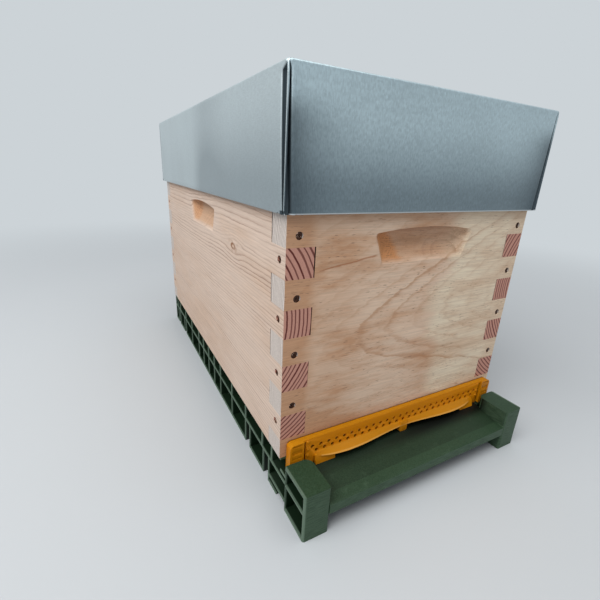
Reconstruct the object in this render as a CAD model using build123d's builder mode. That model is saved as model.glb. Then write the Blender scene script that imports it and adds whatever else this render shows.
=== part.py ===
"""Six-frame nucleus hive: ribbed plastic floor with an entrance guard, a finger-jointed wooden body,
wired frames on metal runners, a plywood cover and a folded sheet-metal roof.

Millimetres. The front, with the entrance, faces -Y. The origin is on the ground, under the middle
of the whole hive.
"""
import os

from build123d import *

os.makedirs("parts", exist_ok=True)

# Wooden body
box_width = 288.0
box_length = 500.0
box_height = 310.0
board = 25.0
finger = 25.0
lowest_finger = 20.0
rabbet_depth = 11.0
rabbet_height = 25.0

# Hand-holds milled in all four boards
handle_width = 122.0
handle_narrowing = 12.0
handle_height = 27.0
handle_arch = 4.5
handle_rounding = 3.0
handle_depth = 12.0
handle_ramp = 14.0
handle_hollow = 8.0
handle_undercut = 3.0
handle_top = 202.5

# Corner screws
screw_head_radius = 3.2
screw_head_edge = 0.6
screw_radius = 2.0
screw_length = 45.0
screw_tip = 3.0
screw_tip_chamfer = 1.2
screw_inset = 11.0
end_screw_drop = 3.5
side_screw_lift = 1.8
fastener_sides = 8

# Frames and the metal strips that carry them
frame_count = 6
frame_side_gap = 5.0
frame_gap = 1.0
comb_gap = 13.0
frame_end_gap = 7.5
lug_end_gap = 1.0
space_over_frames = 6.5
space_under_frames = 3.5
lug_thickness = 10.0
top_bar_depth = 20.0
end_bar_thickness = 10.0
shoulder_height = 90.0
shoulder_taper = 25.0
bottom_bar_height = 10.0
bottom_bar_inset = 2.5
wire_radius = 0.3
wire_sides = 6
wire_count = 4
runner_height = 24.0
runner_sheet = 0.8
runner_hem = 5.0
runner_end_gap = 1.0
nail_head_radius = 2.5
nail_head = 0.8
nail_radius = 1.0
nail_length = 18.0
nail_count = 4
nail_drop = 14.0

# Plywood cover and sheet-metal roof
cover_thickness = 5.0
cover_margin = 2.0
roof_overhang = 6.0
roof_sheet = 0.8
roof_skirt = 96.0
roof_hem = 8.0
roof_hem_fold = 1.6
roof_seam = 1.4
roof_tab = 16.0
roof_bend = 2.0

# Plastic floor
floor_height = 50.0
plastic = 2.5
rib_wall = 2.0
rim_inset = 1.0
rib_inset = 0.5
cell_depth = 14.0
shelf_top = 31.0
sill_drop = 12.0
end_rib = 19.5
rib_row_start = 43.0
rib_pitch = 49.0
rib_row = 4
middle_ribs = 3
back_ribs = 5
landing_reach = 49.0
guard_slot = 11.0
block_width = 26.0
block_rounding = 2.5
guide_rounding = 8.0
crease_reach = 18.0
crease_drop = 2.0
landing_drop = 8.0
landing_lip = 10.0
landing_plate = 3.0
end_notch_start = 26.5
foot_notch_start = 79.0
notch_length = 12.0
notch_height = 5.0
toe_notch_length = 17.5
toe_notch_height = 8.0
under_rib_depth = 15.0
under_ribs = 3
vent_length = 44.0
vent_width = 3.2
vent_gap_across = 10.0
vent_pitch = 24.0
vent_margin = 34.0

# Entrance guard
guard_gap = 0.4
guard_end_gap = 6.5
guard_height = 29.0
guard_depth = 6.1
guard_wall = 2.2
guard_rounding = 4.0
clip_width = 14.3
clip_proud = 2.2
clip_groove = 2.6
clip_relief = 0.9
clip_recess_level = 20.0
clip_recess_height = 4.6
clip_line_levels = (13.5, 27.0)
clip_line_height = 1.2
boss_radius = 1.4
boss_height = 0.8
boss_inset = 2.4
boss_levels = (11.0, 17.5, 26.0)
hood_start = 9.6
hood_top = 12.4
hood_edge = 7.2
lobe_reach = 8.0
lobe_share = 0.5856
shoulder_reach = 6.2
shoulder_share = 0.83
middle_reach = 2.6
hood_wall = 1.8
hood_root_share = 0.05
hole_radius = 2.0
hole_sides = 8
hole_margin = 7.6
hole_count = 26
hole_row_upper = 19.3
hole_row_gap = 5.2
guard_foot = 22.0
guard_foot_inset = 10.0
guard_foot_lean = 2.5
lug_width = 10.0
lug_depth = 5.0
lug_rounding = 2.0

# Places that several pieces share
half_width = box_width / 2
box_bottom = floor_height
box_top = box_bottom + box_height
box_front = (landing_reach - box_length - roof_overhang) / 2
box_back = box_front + box_length
box_middle = (box_front + box_back) / 2
box_centre_z = box_bottom + box_height / 2
inside_width = box_width - 2 * board
inside_length = box_length - 2 * board
inside_front = box_front + board
slot_front = box_front - guard_slot
landing_front = box_front - landing_reach
sill = floor_height - sill_drop
side_fingers = int((box_height - lowest_finger - finger) // (2 * finger)) + 1
side_finger_centres = [box_bottom + lowest_finger + finger * (2 * i + 0.5) for i in range(side_fingers)]
front_finger_ends = [box_bottom, *[z + finger / 2 for z in side_finger_centres]]
front_finger_tops = [*[z - finger / 2 for z in side_finger_centres], box_top]
front_finger_centres = [(low + top) / 2 for low, top in zip(front_finger_ends, front_finger_tops)]
frame_top = box_top - space_over_frames
lug_level = frame_top - lug_thickness
frame_bottom = box_bottom + space_under_frames
frame_pitch = (inside_width - 2 * frame_side_gap) / frame_count
frame_length = inside_length - 2 * frame_end_gap
frame_stations = [frame_pitch * (i - (frame_count - 1) / 2) for i in range(frame_count)]


# Hand-hold, milled with ramped ends: deepest under its arched top edge, its hollow floor runs out below
def hand_hold(plane):
    """The milled hollow in a board whose outer face lies in the plane, with local y up from the ground."""
    top = box_bottom + handle_top
    bottom = top - handle_height
    below = bottom - handle_undercut
    outlines = []
    for depth, inset in ((0, 0), (handle_depth, handle_ramp)):
        top_half = handle_width / 2 - inset
        bottom_half = top_half - handle_narrowing
        with BuildSketch(plane.offset(-depth)) as outline:
            with BuildLine():
                ThreePointArc((-top_half, top), (0, top + handle_arch), (top_half, top))
                Polyline((top_half, top), (bottom_half, below), (-bottom_half, below), (-top_half, top))
            make_face()
            fillet(outline.vertices().group_by(Axis.Y)[-1], handle_rounding)
        outlines.append(outline.sketch.face())
    with BuildPart() as hollow:
        loft(outlines, ruled=True)
        side = Plane(plane.origin, x_dir=-plane.z_dir, z_dir=plane.x_dir)
        floor_top = top - handle_undercut
        floor_middle = (bottom + floor_top) / 2
        with BuildSketch(side):
            with BuildLine():
                ThreePointArc((0, bottom), (handle_hollow, floor_middle), (handle_depth, floor_top))
                Polyline((handle_depth, floor_top), (handle_depth, below), (0, below), (0, bottom))
            make_face()
        extrude(amount=handle_width, both=True, mode=Mode.SUBTRACT)
    return hollow.part


# Front and back boards, with slots for the side boards' fingers and a rabbet for the frame lugs
front_plane = Plane((0, box_front, 0), x_dir=(1, 0, 0), z_dir=(0, -1, 0))
back_plane = Plane((0, box_back, 0), x_dir=(-1, 0, 0), z_dir=(0, 1, 0))
for name, face in (("front_board", front_plane), ("back_board", back_plane)):
    with BuildPart() as end_board:
        with BuildSketch(face):
            with Locations((0, box_centre_z)):
                Rectangle(box_width, box_height)
            slot_x = half_width - board / 2
            with Locations(*[(s * slot_x, z) for s in (-1, 1) for z in side_finger_centres]):
                Rectangle(board, finger, mode=Mode.SUBTRACT)
        extrude(amount=-board)
        with BuildSketch(face.offset(-board)):
            with Locations((0, box_top - rabbet_height / 2)):
                Rectangle(inside_width, rabbet_height)
        extrude(amount=rabbet_depth, mode=Mode.SUBTRACT)
        add(hand_hold(face), mode=Mode.SUBTRACT)
    end_board.part.label = name
    export_step(end_board.part, f"parts/{name}.step")

# Side boards, whose fingers fill the slots of the front and back boards
left_plane = Plane((-half_width, box_middle, 0), x_dir=(0, -1, 0), z_dir=(-1, 0, 0))
right_plane = Plane((half_width, box_middle, 0), x_dir=(0, 1, 0), z_dir=(1, 0, 0))
for name, face in (("left_board", left_plane), ("right_board", right_plane)):
    with BuildPart() as side_board:
        with BuildSketch(face):
            with Locations((0, box_centre_z)):
                Rectangle(inside_length, box_height)
            with Locations(*[(0, z) for z in side_finger_centres]):
                Rectangle(box_length, finger)
        extrude(amount=-board)
        add(hand_hold(face), mode=Mode.SUBTRACT)
    side_board.part.label = name
    export_step(side_board.part, f"parts/{name}.step")

# Countersunk screws, one through every finger of a corner: a little below the middle of the fingers
# of the front and back boards, and a little above it in the side boards
countersink = screw_head_radius - screw_radius
with BuildPart() as corner_screw:
    with BuildSketch(Plane.XY):
        RegularPolygon(screw_head_radius, fastener_sides)
    extrude(amount=-countersink - screw_head_edge)
    chamfer(corner_screw.edges().group_by(Axis.Z)[0], countersink)
    with BuildSketch(Plane.XY):
        RegularPolygon(screw_radius, fastener_sides)
    extrude(amount=-screw_length)
    chamfer(corner_screw.edges().group_by(Axis.Z)[0], screw_tip, screw_tip_chamfer)
for end, end_y, inward in (("front", box_front, 1), ("back", box_back, -1)):
    for side, sign in (("left", -1), ("right", 1)):
        with BuildPart() as corner:
            for finger_z in front_finger_centres:
                spot = (sign * (half_width - screw_inset), end_y, finger_z - end_screw_drop)
                add(Plane(spot, z_dir=(0, -inward, 0)) * corner_screw.part)
            for finger_z in side_finger_centres:
                spot = (sign * half_width, end_y + inward * screw_inset, finger_z + side_screw_lift)
                add(Plane(spot, z_dir=(sign, 0, 0)) * corner_screw.part)
        name = f"{end}_{side}_screws"
        corner.part.label = name
        export_step(corner.part, f"parts/{name}.step")

# Galvanised runners on the inner faces: the frame lugs rest on their hemmed upper edges
runner_length = inside_width - 2 * runner_end_gap
nail_spacing = runner_length / nail_count
runner_ends = (
    ("front", Plane((0, inside_front, 0), x_dir=(-1, 0, 0), z_dir=(0, 1, 0))),
    ("back", Plane((0, box_back - board, 0), x_dir=(1, 0, 0), z_dir=(0, -1, 0))),
)
with BuildPart() as runner_nail:
    with BuildSketch(Plane.XY):
        RegularPolygon(nail_radius, fastener_sides)
    extrude(amount=nail_length)
    with BuildSketch(Plane.XY.offset(nail_length)):
        RegularPolygon(nail_head_radius, fastener_sides)
    extrude(amount=nail_head)
for end, face in runner_ends:
    with BuildPart() as runner:
        with BuildSketch(face):
            with Locations((0, lug_level - runner_height / 2)):
                Rectangle(runner_length, runner_height)
        extrude(amount=runner_sheet)
        with BuildSketch(face.offset(runner_sheet)):
            with Locations((0, lug_level - runner_hem / 2)):
                Rectangle(runner_length, runner_hem)
        extrude(amount=runner_sheet)
    name = f"{end}_frame_runner"
    runner.part.label = name
    export_step(runner.part, f"parts/{name}.step")

    with BuildPart() as nails:
        heads = face.offset(runner_sheet - nail_length)
        for i in range(nail_count):
            across = nail_spacing * (i - (nail_count - 1) / 2)
            spot = heads * Location((across, lug_level - nail_drop, 0))
            add(Plane(spot) * runner_nail.part)
    name = f"{end}_runner_nails"
    nails.part.label = name
    export_step(nails.part, f"parts/{name}.step")

# Frames: a lugged top bar, shouldered end bars, a bottom bar and level wires
top_bar_length = inside_length + 2 * (rabbet_depth - lug_end_gap)
end_bar_shoulder = frame_pitch - frame_gap
bar_width = frame_pitch - comb_gap
bottom_bar_width = bar_width - 2 * bottom_bar_inset
end_bar_inner = frame_length / 2 - end_bar_thickness
wire_pitch = (lug_level - frame_bottom) / (wire_count + 1)
for number, x in enumerate(frame_stations, start=1):
    frame_plane = Plane((x, box_middle, 0), x_dir=(0, 1, 0), z_dir=(1, 0, 0))
    with BuildPart() as top_bar:
        with BuildSketch(frame_plane):
            with Locations((0, frame_top - lug_thickness / 2)):
                Rectangle(top_bar_length, lug_thickness)
            with Locations((0, frame_top - top_bar_depth / 2)):
                Rectangle(2 * end_bar_inner, top_bar_depth)
        extrude(amount=bar_width / 2, both=True)
    name = f"frame_{number}_top_bar"
    top_bar.part.label = name
    export_step(top_bar.part, f"parts/{name}.step")

    for end, outward in (("front", -1), ("back", 1)):
        outer_y = box_middle + outward * frame_length / 2
        with BuildPart() as end_bar:
            with BuildSketch(Plane((x, outer_y, 0), x_dir=(-outward, 0, 0), z_dir=(0, outward, 0))):
                with BuildLine():
                    Polyline(
                        (0, lug_level),
                        (end_bar_shoulder / 2, lug_level),
                        (end_bar_shoulder / 2, lug_level - shoulder_height),
                        (bar_width / 2, lug_level - shoulder_height - shoulder_taper),
                        (bar_width / 2, frame_bottom),
                        (0, frame_bottom),
                        close=True,
                    )
                make_face()
                mirror(about=Plane.YZ)
            extrude(amount=-end_bar_thickness)
        name = f"frame_{number}_{end}_end_bar"
        end_bar.part.label = name
        export_step(end_bar.part, f"parts/{name}.step")

    with BuildPart() as bottom_bar:
        with BuildSketch(frame_plane):
            with Locations((0, frame_bottom + bottom_bar_height / 2)):
                Rectangle(2 * end_bar_inner, bottom_bar_height)
        extrude(amount=bottom_bar_width / 2, both=True)
    name = f"frame_{number}_bottom_bar"
    bottom_bar.part.label = name
    export_step(bottom_bar.part, f"parts/{name}.step")

    with BuildPart() as wires:
        with BuildSketch(Plane((x, box_middle, 0), x_dir=(1, 0, 0), z_dir=(0, 1, 0)).offset(-end_bar_inner)):
            with Locations(*[(0, -frame_bottom - wire_pitch * (i + 1)) for i in range(wire_count)]):
                RegularPolygon(wire_radius, wire_sides)
        extrude(amount=2 * end_bar_inner)
    name = f"frame_{number}_wires"
    wires.part.label = name
    export_step(wires.part, f"parts/{name}.step")

# Plywood cover, lying on the box under the roof
with BuildPart() as inner_cover:
    with BuildSketch(Plane((0, box_middle, box_top))):
        Rectangle(box_width - 2 * cover_margin, box_length - 2 * cover_margin)
    extrude(amount=cover_thickness)
inner_cover.part.label = "inner_cover"
export_step(inner_cover.part, "parts/inner_cover.step")

# Roof, folded from one sheet: hemmed skirts, open corner seams with tabs behind them
roof_under = box_top + cover_thickness
roof_top = roof_under + roof_sheet
roof_width = box_width + 2 * roof_overhang
roof_length = box_length + 2 * roof_overhang
skirt_bottom = roof_top - roof_skirt
tab_height = roof_under - skirt_bottom - roof_hem
with BuildPart() as roof_sheet_part:
    with BuildSketch(Plane((0, box_middle, skirt_bottom))):
        Rectangle(roof_width, roof_length)
    extrude(amount=roof_skirt)
    fillet(roof_sheet_part.faces().sort_by(Axis.Z)[-1].edges(), roof_bend)
    with BuildSketch(Plane((0, box_middle, skirt_bottom))):
        Rectangle(roof_width - 2 * roof_hem_fold, roof_length - 2 * roof_hem_fold)
    extrude(amount=roof_hem, mode=Mode.SUBTRACT)
    with BuildSketch(Plane((0, box_middle, skirt_bottom + roof_hem))):
        Rectangle(roof_width - 2 * roof_sheet, roof_length - 2 * roof_sheet)
    extrude(amount=roof_under - skirt_bottom - roof_hem, mode=Mode.SUBTRACT)
    corner_x = roof_width / 2 - roof_hem_fold / 2
    corner_y = roof_length / 2 - roof_hem_fold - roof_seam / 2
    with BuildSketch(Plane((0, box_middle, skirt_bottom))):
        with Locations(*[(sx * corner_x, sy * corner_y) for sx in (-1, 1) for sy in (-1, 1)]):
            Rectangle(roof_hem_fold, roof_seam)
    extrude(amount=roof_skirt - roof_bend - roof_seam, mode=Mode.SUBTRACT)
    tab_x = roof_width / 2 - 1.5 * roof_sheet
    tab_y = roof_length / 2 - roof_sheet - roof_tab / 2
    with BuildSketch(Plane((0, box_middle, skirt_bottom + roof_hem))):
        with Locations(*[(sx * tab_x, sy * tab_y) for sx in (-1, 1) for sy in (-1, 1)]):
            Rectangle(roof_sheet, roof_tab)
    extrude(amount=tab_height)
roof_sheet_part.part.label = "roof_sheet"
export_step(roof_sheet_part.part, "parts/roof_sheet.step")

# Floor: one moulding, with ribbed open cells round its sides, a vented deck and a sloping landing board
rim_under = floor_height - plastic
web_x = half_width - cell_depth - plastic / 2
rim_width = board + rim_inset
rail_x = half_width - rim_inset - rim_width / 2
inner_wall_x = half_width - rim_inset - rim_width + plastic / 2
shelf_x = half_width - rib_inset - cell_depth / 2
shelf_z = shelf_top - rib_wall / 2
floor_back = box_back - rim_inset
back_web = box_back - cell_depth
back_cell = cell_depth - rib_inset
row_ribs = [rib_row_start + i * rib_pitch for i in range(rib_row)]
middle_gap = (box_length - 2 * row_ribs[-1]) / (middle_ribs + 1)
middle_row = [row_ribs[-1] + middle_gap * (i + 1) for i in range(middle_ribs)]
shared_ribs = [*row_ribs[1:], *middle_row, *[box_length - s for s in row_ribs[1:]]]
upper_ribs = [s for near in (end_rib, rib_row_start) for s in (near, box_length - near)]
notch_starts = [end_notch_start, foot_notch_start]
notch_sides = [s + d for s in notch_starts for d in (-rib_wall / 2, notch_length + rib_wall / 2)]
lower_ribs = [s for near in notch_sides[:-1] for s in (near, box_length - near)]
toe_back = box_front + end_notch_start
back_rib_gap = 2 * web_x / (back_ribs - 1)
block_x = half_width - block_width / 2
block_length = landing_reach - guard_slot
block_y = (landing_front + slot_front) / 2
deck_length = back_web - box_front
under_rib_gap = box_length / (under_ribs + 1)
vent_columns = int((inside_width - vent_length) // (vent_length + vent_gap_across)) + 1
vent_rows = int((deck_length - 2 * vent_margin) // vent_pitch) + 1
with BuildPart() as floor_moulding:
    # deck, outer webs, the shelf that divides the cells and their ground flange, run back from the slot
    with BuildSketch(Plane.XZ.offset(-slot_front)):
        with Locations((0, sill - plastic / 2)):
            Rectangle(2 * web_x, plastic)
        with Locations((-web_x, rim_under / 2), (web_x, rim_under / 2)):
            Rectangle(plastic, rim_under)
        with Locations(*[(s * shelf_x, z) for s in (-1, 1) for z in (rib_wall / 2, shelf_z)]):
            Rectangle(cell_depth, rib_wall)
    extrude(amount=slot_front - back_web)
    # sill across the guard's slot
    with BuildSketch(Plane.XY.offset(sill - plastic)):
        with Locations((0, box_front - guard_slot / 2)):
            Rectangle(box_width - 2 * rim_inset, guard_slot)
    extrude(amount=plastic)
    # webs stop at the sill inside the slot, where the guard stands
    with BuildSketch(Plane.XY.offset(sill)):
        with Locations((0, box_front - guard_slot / 2)):
            Rectangle(box_width, guard_slot)
    extrude(amount=sill_drop, mode=Mode.SUBTRACT)
    # rim that carries the box, with a wall down to the deck
    with BuildSketch(Plane.XZ.offset(-box_front)):
        with Locations((-rail_x, floor_height - plastic / 2), (rail_x, floor_height - plastic / 2)):
            Rectangle(rim_width, plastic)
        with Locations(*[(s * inner_wall_x, (sill + rim_under) / 2) for s in (-1, 1)]):
            Rectangle(plastic, rim_under - sill)
    extrude(amount=box_front - floor_back)
    # back wall with the same section
    with BuildSketch(Plane.YZ):
        with Locations((back_web - plastic / 2, rim_under / 2)):
            Rectangle(plastic, rim_under)
        with Locations((floor_back - rim_width / 2, floor_height - plastic / 2)):
            Rectangle(rim_width, plastic)
        with Locations((floor_back - rim_width + plastic / 2, (sill + rim_under) / 2)):
            Rectangle(plastic, rim_under - sill)
    extrude(amount=web_x + plastic / 2, both=True)
    for level in (0, shelf_top - rib_wall):
        with BuildSketch(Plane.XY.offset(level)):
            with Locations((0, back_web + back_cell / 2)):
                Rectangle(box_width - 2 * rib_inset, back_cell)
        extrude(amount=rib_wall)
    # upright ribs: most from ground to rim, the end ones only over the shelf, the notches' only under it
    for stations, low, high in (
        (shared_ribs, 0, rim_under),
        (upper_ribs, shelf_z, rim_under),
        (lower_ribs, 0, shelf_z),
    ):
        with BuildSketch(Plane.XY.offset(low)):
            with Locations(*[(s * shelf_x, box_front + y) for s in (-1, 1) for y in stations]):
                Rectangle(cell_depth, rib_wall)
        extrude(amount=high - low)
    with BuildSketch(Plane.XY):
        with Locations((0, back_web + back_cell / 2)):
            with GridLocations(back_rib_gap, back_cell, back_ribs, 1):
                Rectangle(rib_wall, back_cell)
    extrude(amount=rim_under)
    # toes behind the blocks, roofed by a short plate
    with BuildSketch(Plane.XY.offset(toe_notch_height)):
        with Locations(*[(s * shelf_x, (slot_front + toe_back) / 2) for s in (-1, 1)]):
            Rectangle(cell_depth, toe_back - slot_front)
    extrude(amount=rib_wall)
    # hollow blocks each side of the landing board, rounded where they guide the guard, open outwards,
    # with the shelf across them
    with BuildSketch(Plane.XY) as block_plan:
        with Locations((-block_x, block_y)):
            Rectangle(block_width, block_length)
        fillet(block_plan.vertices().group_by(Axis.X)[0], block_rounding)
        fillet(block_plan.vertices().group_by(Axis.Y)[-1].sort_by(Axis.X)[-1], guide_rounding)
        fillet(block_plan.vertices().group_by(Axis.Y)[0].sort_by(Axis.X)[-1], block_rounding)
        mirror(about=Plane.YZ)
    extrude(amount=floor_height)
    for low, high in ((plastic, shelf_top - rib_wall), (shelf_top, rim_under)):
        with BuildSketch(Plane.XY.offset(low)) as block_cell:
            with Locations((-block_x - plastic, block_y)):
                Rectangle(block_width, block_length - 2 * plastic)
            fillet(block_cell.vertices().group_by(Axis.Y)[-1].sort_by(Axis.X)[-1], guide_rounding - plastic)
            mirror(about=Plane.YZ)
        extrude(amount=high - low, mode=Mode.SUBTRACT)
    # landing board: a crease, then a slope down to the lip
    with BuildSketch(Plane.YZ):
        with BuildLine():
            Polyline(
                (slot_front, sill),
                (box_front - crease_reach, sill - crease_drop),
                (landing_front, sill - landing_drop),
                (landing_front, sill - landing_drop - landing_lip),
                (landing_front + landing_plate, sill - landing_drop - landing_lip),
                (landing_front + landing_plate, sill - landing_drop - landing_plate),
                (box_front - crease_reach, sill - crease_drop - landing_plate),
                (slot_front, sill - landing_plate),
                close=True,
            )
        make_face()
    extrude(amount=half_width - block_width, both=True)
    # stiffening ribs under the deck
    with BuildSketch(Plane.XY.offset(sill - plastic - under_rib_depth)):
        with Locations(*[(0, box_front + under_rib_gap * (i + 1)) for i in range(under_ribs)]):
            Rectangle(2 * web_x, rib_wall)
        with Locations((0, (box_front + back_web) / 2)):
            Rectangle(rib_wall, deck_length)
    extrude(amount=under_rib_depth)
    # ventilation slots through the deck
    with BuildSketch(Plane.XY.offset(sill - plastic)):
        with Locations((0, (box_front + back_web) / 2)):
            with GridLocations(vent_length + vent_gap_across, vent_pitch, vent_columns, vent_rows):
                Rectangle(vent_length, vent_width)
    extrude(amount=plastic, mode=Mode.SUBTRACT)
    # strap notches under the side walls, and the toes' open fronts
    notch_reaches = [box_length / 2 - start - notch_length / 2 for start in notch_starts]
    with BuildSketch(Plane.XY):
        with Locations(*[(0, box_middle + s * reach) for s in (-1, 1) for reach in notch_reaches]):
            Rectangle(box_width, notch_length)
    extrude(amount=notch_height, mode=Mode.SUBTRACT)
    with BuildSketch(Plane.XY):
        with Locations((0, slot_front + toe_notch_length / 2)):
            Rectangle(box_width, toe_notch_length)
    extrude(amount=toe_notch_height, mode=Mode.SUBTRACT)
floor_moulding.part.label = "floor_moulding"
export_step(floor_moulding.part, "parts/floor_moulding.step")

# Entrance guard: a perforated panel over a two-lobed hood, with a sprung clip at each end
guard_back = box_front - guard_gap
panel_front = guard_back - guard_depth
clip_front = panel_front - clip_proud
foot_front = slot_front + guard_gap
guard_top = sill + guard_height
guard_half = half_width - guard_end_gap
clip_x = guard_half - clip_width / 2
panel_half = guard_half - clip_width - clip_groove
hood_half = panel_half - hood_start
hole_pitch = 2 * (panel_half - hole_margin) / (hole_count - 1)
hood_low = sill + hood_edge
hood_high = sill + hood_top
foot_x = panel_half - guard_foot_inset - guard_foot / 2
foot_top = hood_low + hood_wall
lug_front = panel_front - middle_reach
clip_reliefs = [(clip_recess_level, clip_recess_height), *[(z, clip_line_height) for z in clip_line_levels]]


def hood_outline(level, reach, wall):
    """One level section of the hood: straight behind, two lobes in front, each a share of the full reach."""
    front = panel_front + wall
    right_lobe = [
        (hood_half * lobe_share, front - lobe_reach * reach),
        (hood_half * shoulder_share, front - shoulder_reach * reach),
        (hood_half - wall, front),
    ]
    left_lobe = [(-x, y) for x, y in reversed(right_lobe)]
    with BuildSketch(Plane.XY.offset(level)) as outline:
        with BuildLine():
            Spline(*left_lobe, (0, front - middle_reach * reach), *right_lobe)
            Polyline(
                right_lobe[-1],
                (hood_half - wall, front + guard_wall),
                (wall - hood_half, front + guard_wall),
                left_lobe[0],
            )
        make_face()
    return outline.sketch


with BuildPart() as entrance_guard:
    # level top, and the panel under it between the clips
    with BuildSketch(Plane.XY.offset(guard_top - guard_wall)):
        with Locations((0, (guard_back + panel_front) / 2)):
            Rectangle(2 * guard_half, guard_depth)
    extrude(amount=guard_wall)
    with BuildSketch(Plane.XZ.offset(-panel_front)):
        with Locations((0, (hood_high + guard_top) / 2)):
            Rectangle(2 * panel_half, guard_top - hood_high)
        with Locations(*[(s * (panel_half - hood_start / 2), sill + guard_height / 2) for s in (-1, 1)]):
            Rectangle(hood_start, guard_height)
    extrude(amount=-guard_wall)
    # clips, rounded at their outer top corners, hollow behind, with a finger recess between two lines
    with BuildSketch(Plane.XZ.offset(-clip_front)):
        with Locations((-clip_x, sill + guard_height / 2), (clip_x, sill + guard_height / 2)):
            Rectangle(clip_width, guard_height)
    extrude(amount=-guard_depth - clip_proud)
    fillet(
        entrance_guard.edges().filter_by(Axis.Y).group_by(Axis.Z)[-1].group_by(Axis.X)[0]
        + entrance_guard.edges().filter_by(Axis.Y).group_by(Axis.Z)[-1].group_by(Axis.X)[-1],
        guard_rounding,
    )
    with BuildSketch(Plane.XY.offset(sill)):
        with Locations(*[(s * clip_x, (guard_back + clip_front + guard_wall) / 2) for s in (-1, 1)]):
            Rectangle(clip_width - 2 * guard_wall, guard_back - clip_front - guard_wall)
    extrude(amount=guard_height - guard_wall, mode=Mode.SUBTRACT)
    with BuildSketch(Plane.XZ.offset(-clip_front)):
        for level, height in clip_reliefs:
            with Locations((-clip_x, sill + level), (clip_x, sill + level)):
                Rectangle(clip_width - 2 * guard_wall, height)
    extrude(amount=-clip_relief, mode=Mode.SUBTRACT)
    # small bosses on the panel, beside the clips
    with BuildSketch(Plane.XZ.offset(-panel_front)):
        with Locations(*[(s * (panel_half - boss_inset), sill + z) for s in (-1, 1) for z in boss_levels]):
            RegularPolygon(boss_radius, fastener_sides)
    extrude(amount=boss_height)
    # hood: a thin shell that flares from the panel's lower edge to the wavy rim
    hood_root = hood_outline(hood_high, hood_root_share, 0)
    hood_rim = hood_outline(hood_low, 1, 0)
    loft([hood_root.face(), hood_rim.face()])
    hollow_root = hood_outline(hood_high - hood_wall, hood_root_share, hood_wall)
    hollow_rim = hood_outline(hood_low, 1, hood_wall)
    loft([hollow_root.face(), hollow_rim.face()], mode=Mode.SUBTRACT)
    # feet under the ends of the hood, leaning back to its rim, and a lug in the middle divide the entrance
    with BuildSketch(Plane.YZ.offset(foot_x - guard_foot / 2)):
        with BuildLine():
            Polyline(
                (foot_front, sill),
                (foot_front + guard_foot_lean, foot_top),
                (panel_front + guard_wall, foot_top),
                (panel_front + guard_wall, sill),
                close=True,
            )
        make_face()
    right_foot = extrude(amount=guard_foot)
    mirror(right_foot, about=Plane.YZ)
    with BuildSketch(Plane.XZ.offset(-lug_front)) as lug:
        with Locations((0, sill + hood_top / 2)):
            Rectangle(lug_width, hood_top)
        fillet(lug.vertices().group_by(Axis.Y)[0], lug_rounding)
    extrude(amount=-lug_depth)
    # two staggered rows of air holes
    with BuildSketch(Plane.XZ.offset(-panel_front)):
        with Locations((0, sill + hole_row_upper)):
            with GridLocations(hole_pitch, hole_pitch, hole_count, 1):
                RegularPolygon(hole_radius, hole_sides)
        with Locations((0, sill + hole_row_upper - hole_row_gap)):
            with GridLocations(hole_pitch, hole_pitch, hole_count - 1, 1):
                RegularPolygon(hole_radius, hole_sides)
    extrude(amount=-guard_wall, mode=Mode.SUBTRACT)
entrance_guard.part.label = "entrance_guard"
export_step(entrance_guard.part, "parts/entrance_guard.step")
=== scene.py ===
"""Looks of the nucleus hive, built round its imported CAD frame. Metres, in the frame's own axes."""

import math
from functools import partialmethod

import bmesh
import bpy
from mathutils import Matrix, Vector


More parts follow.
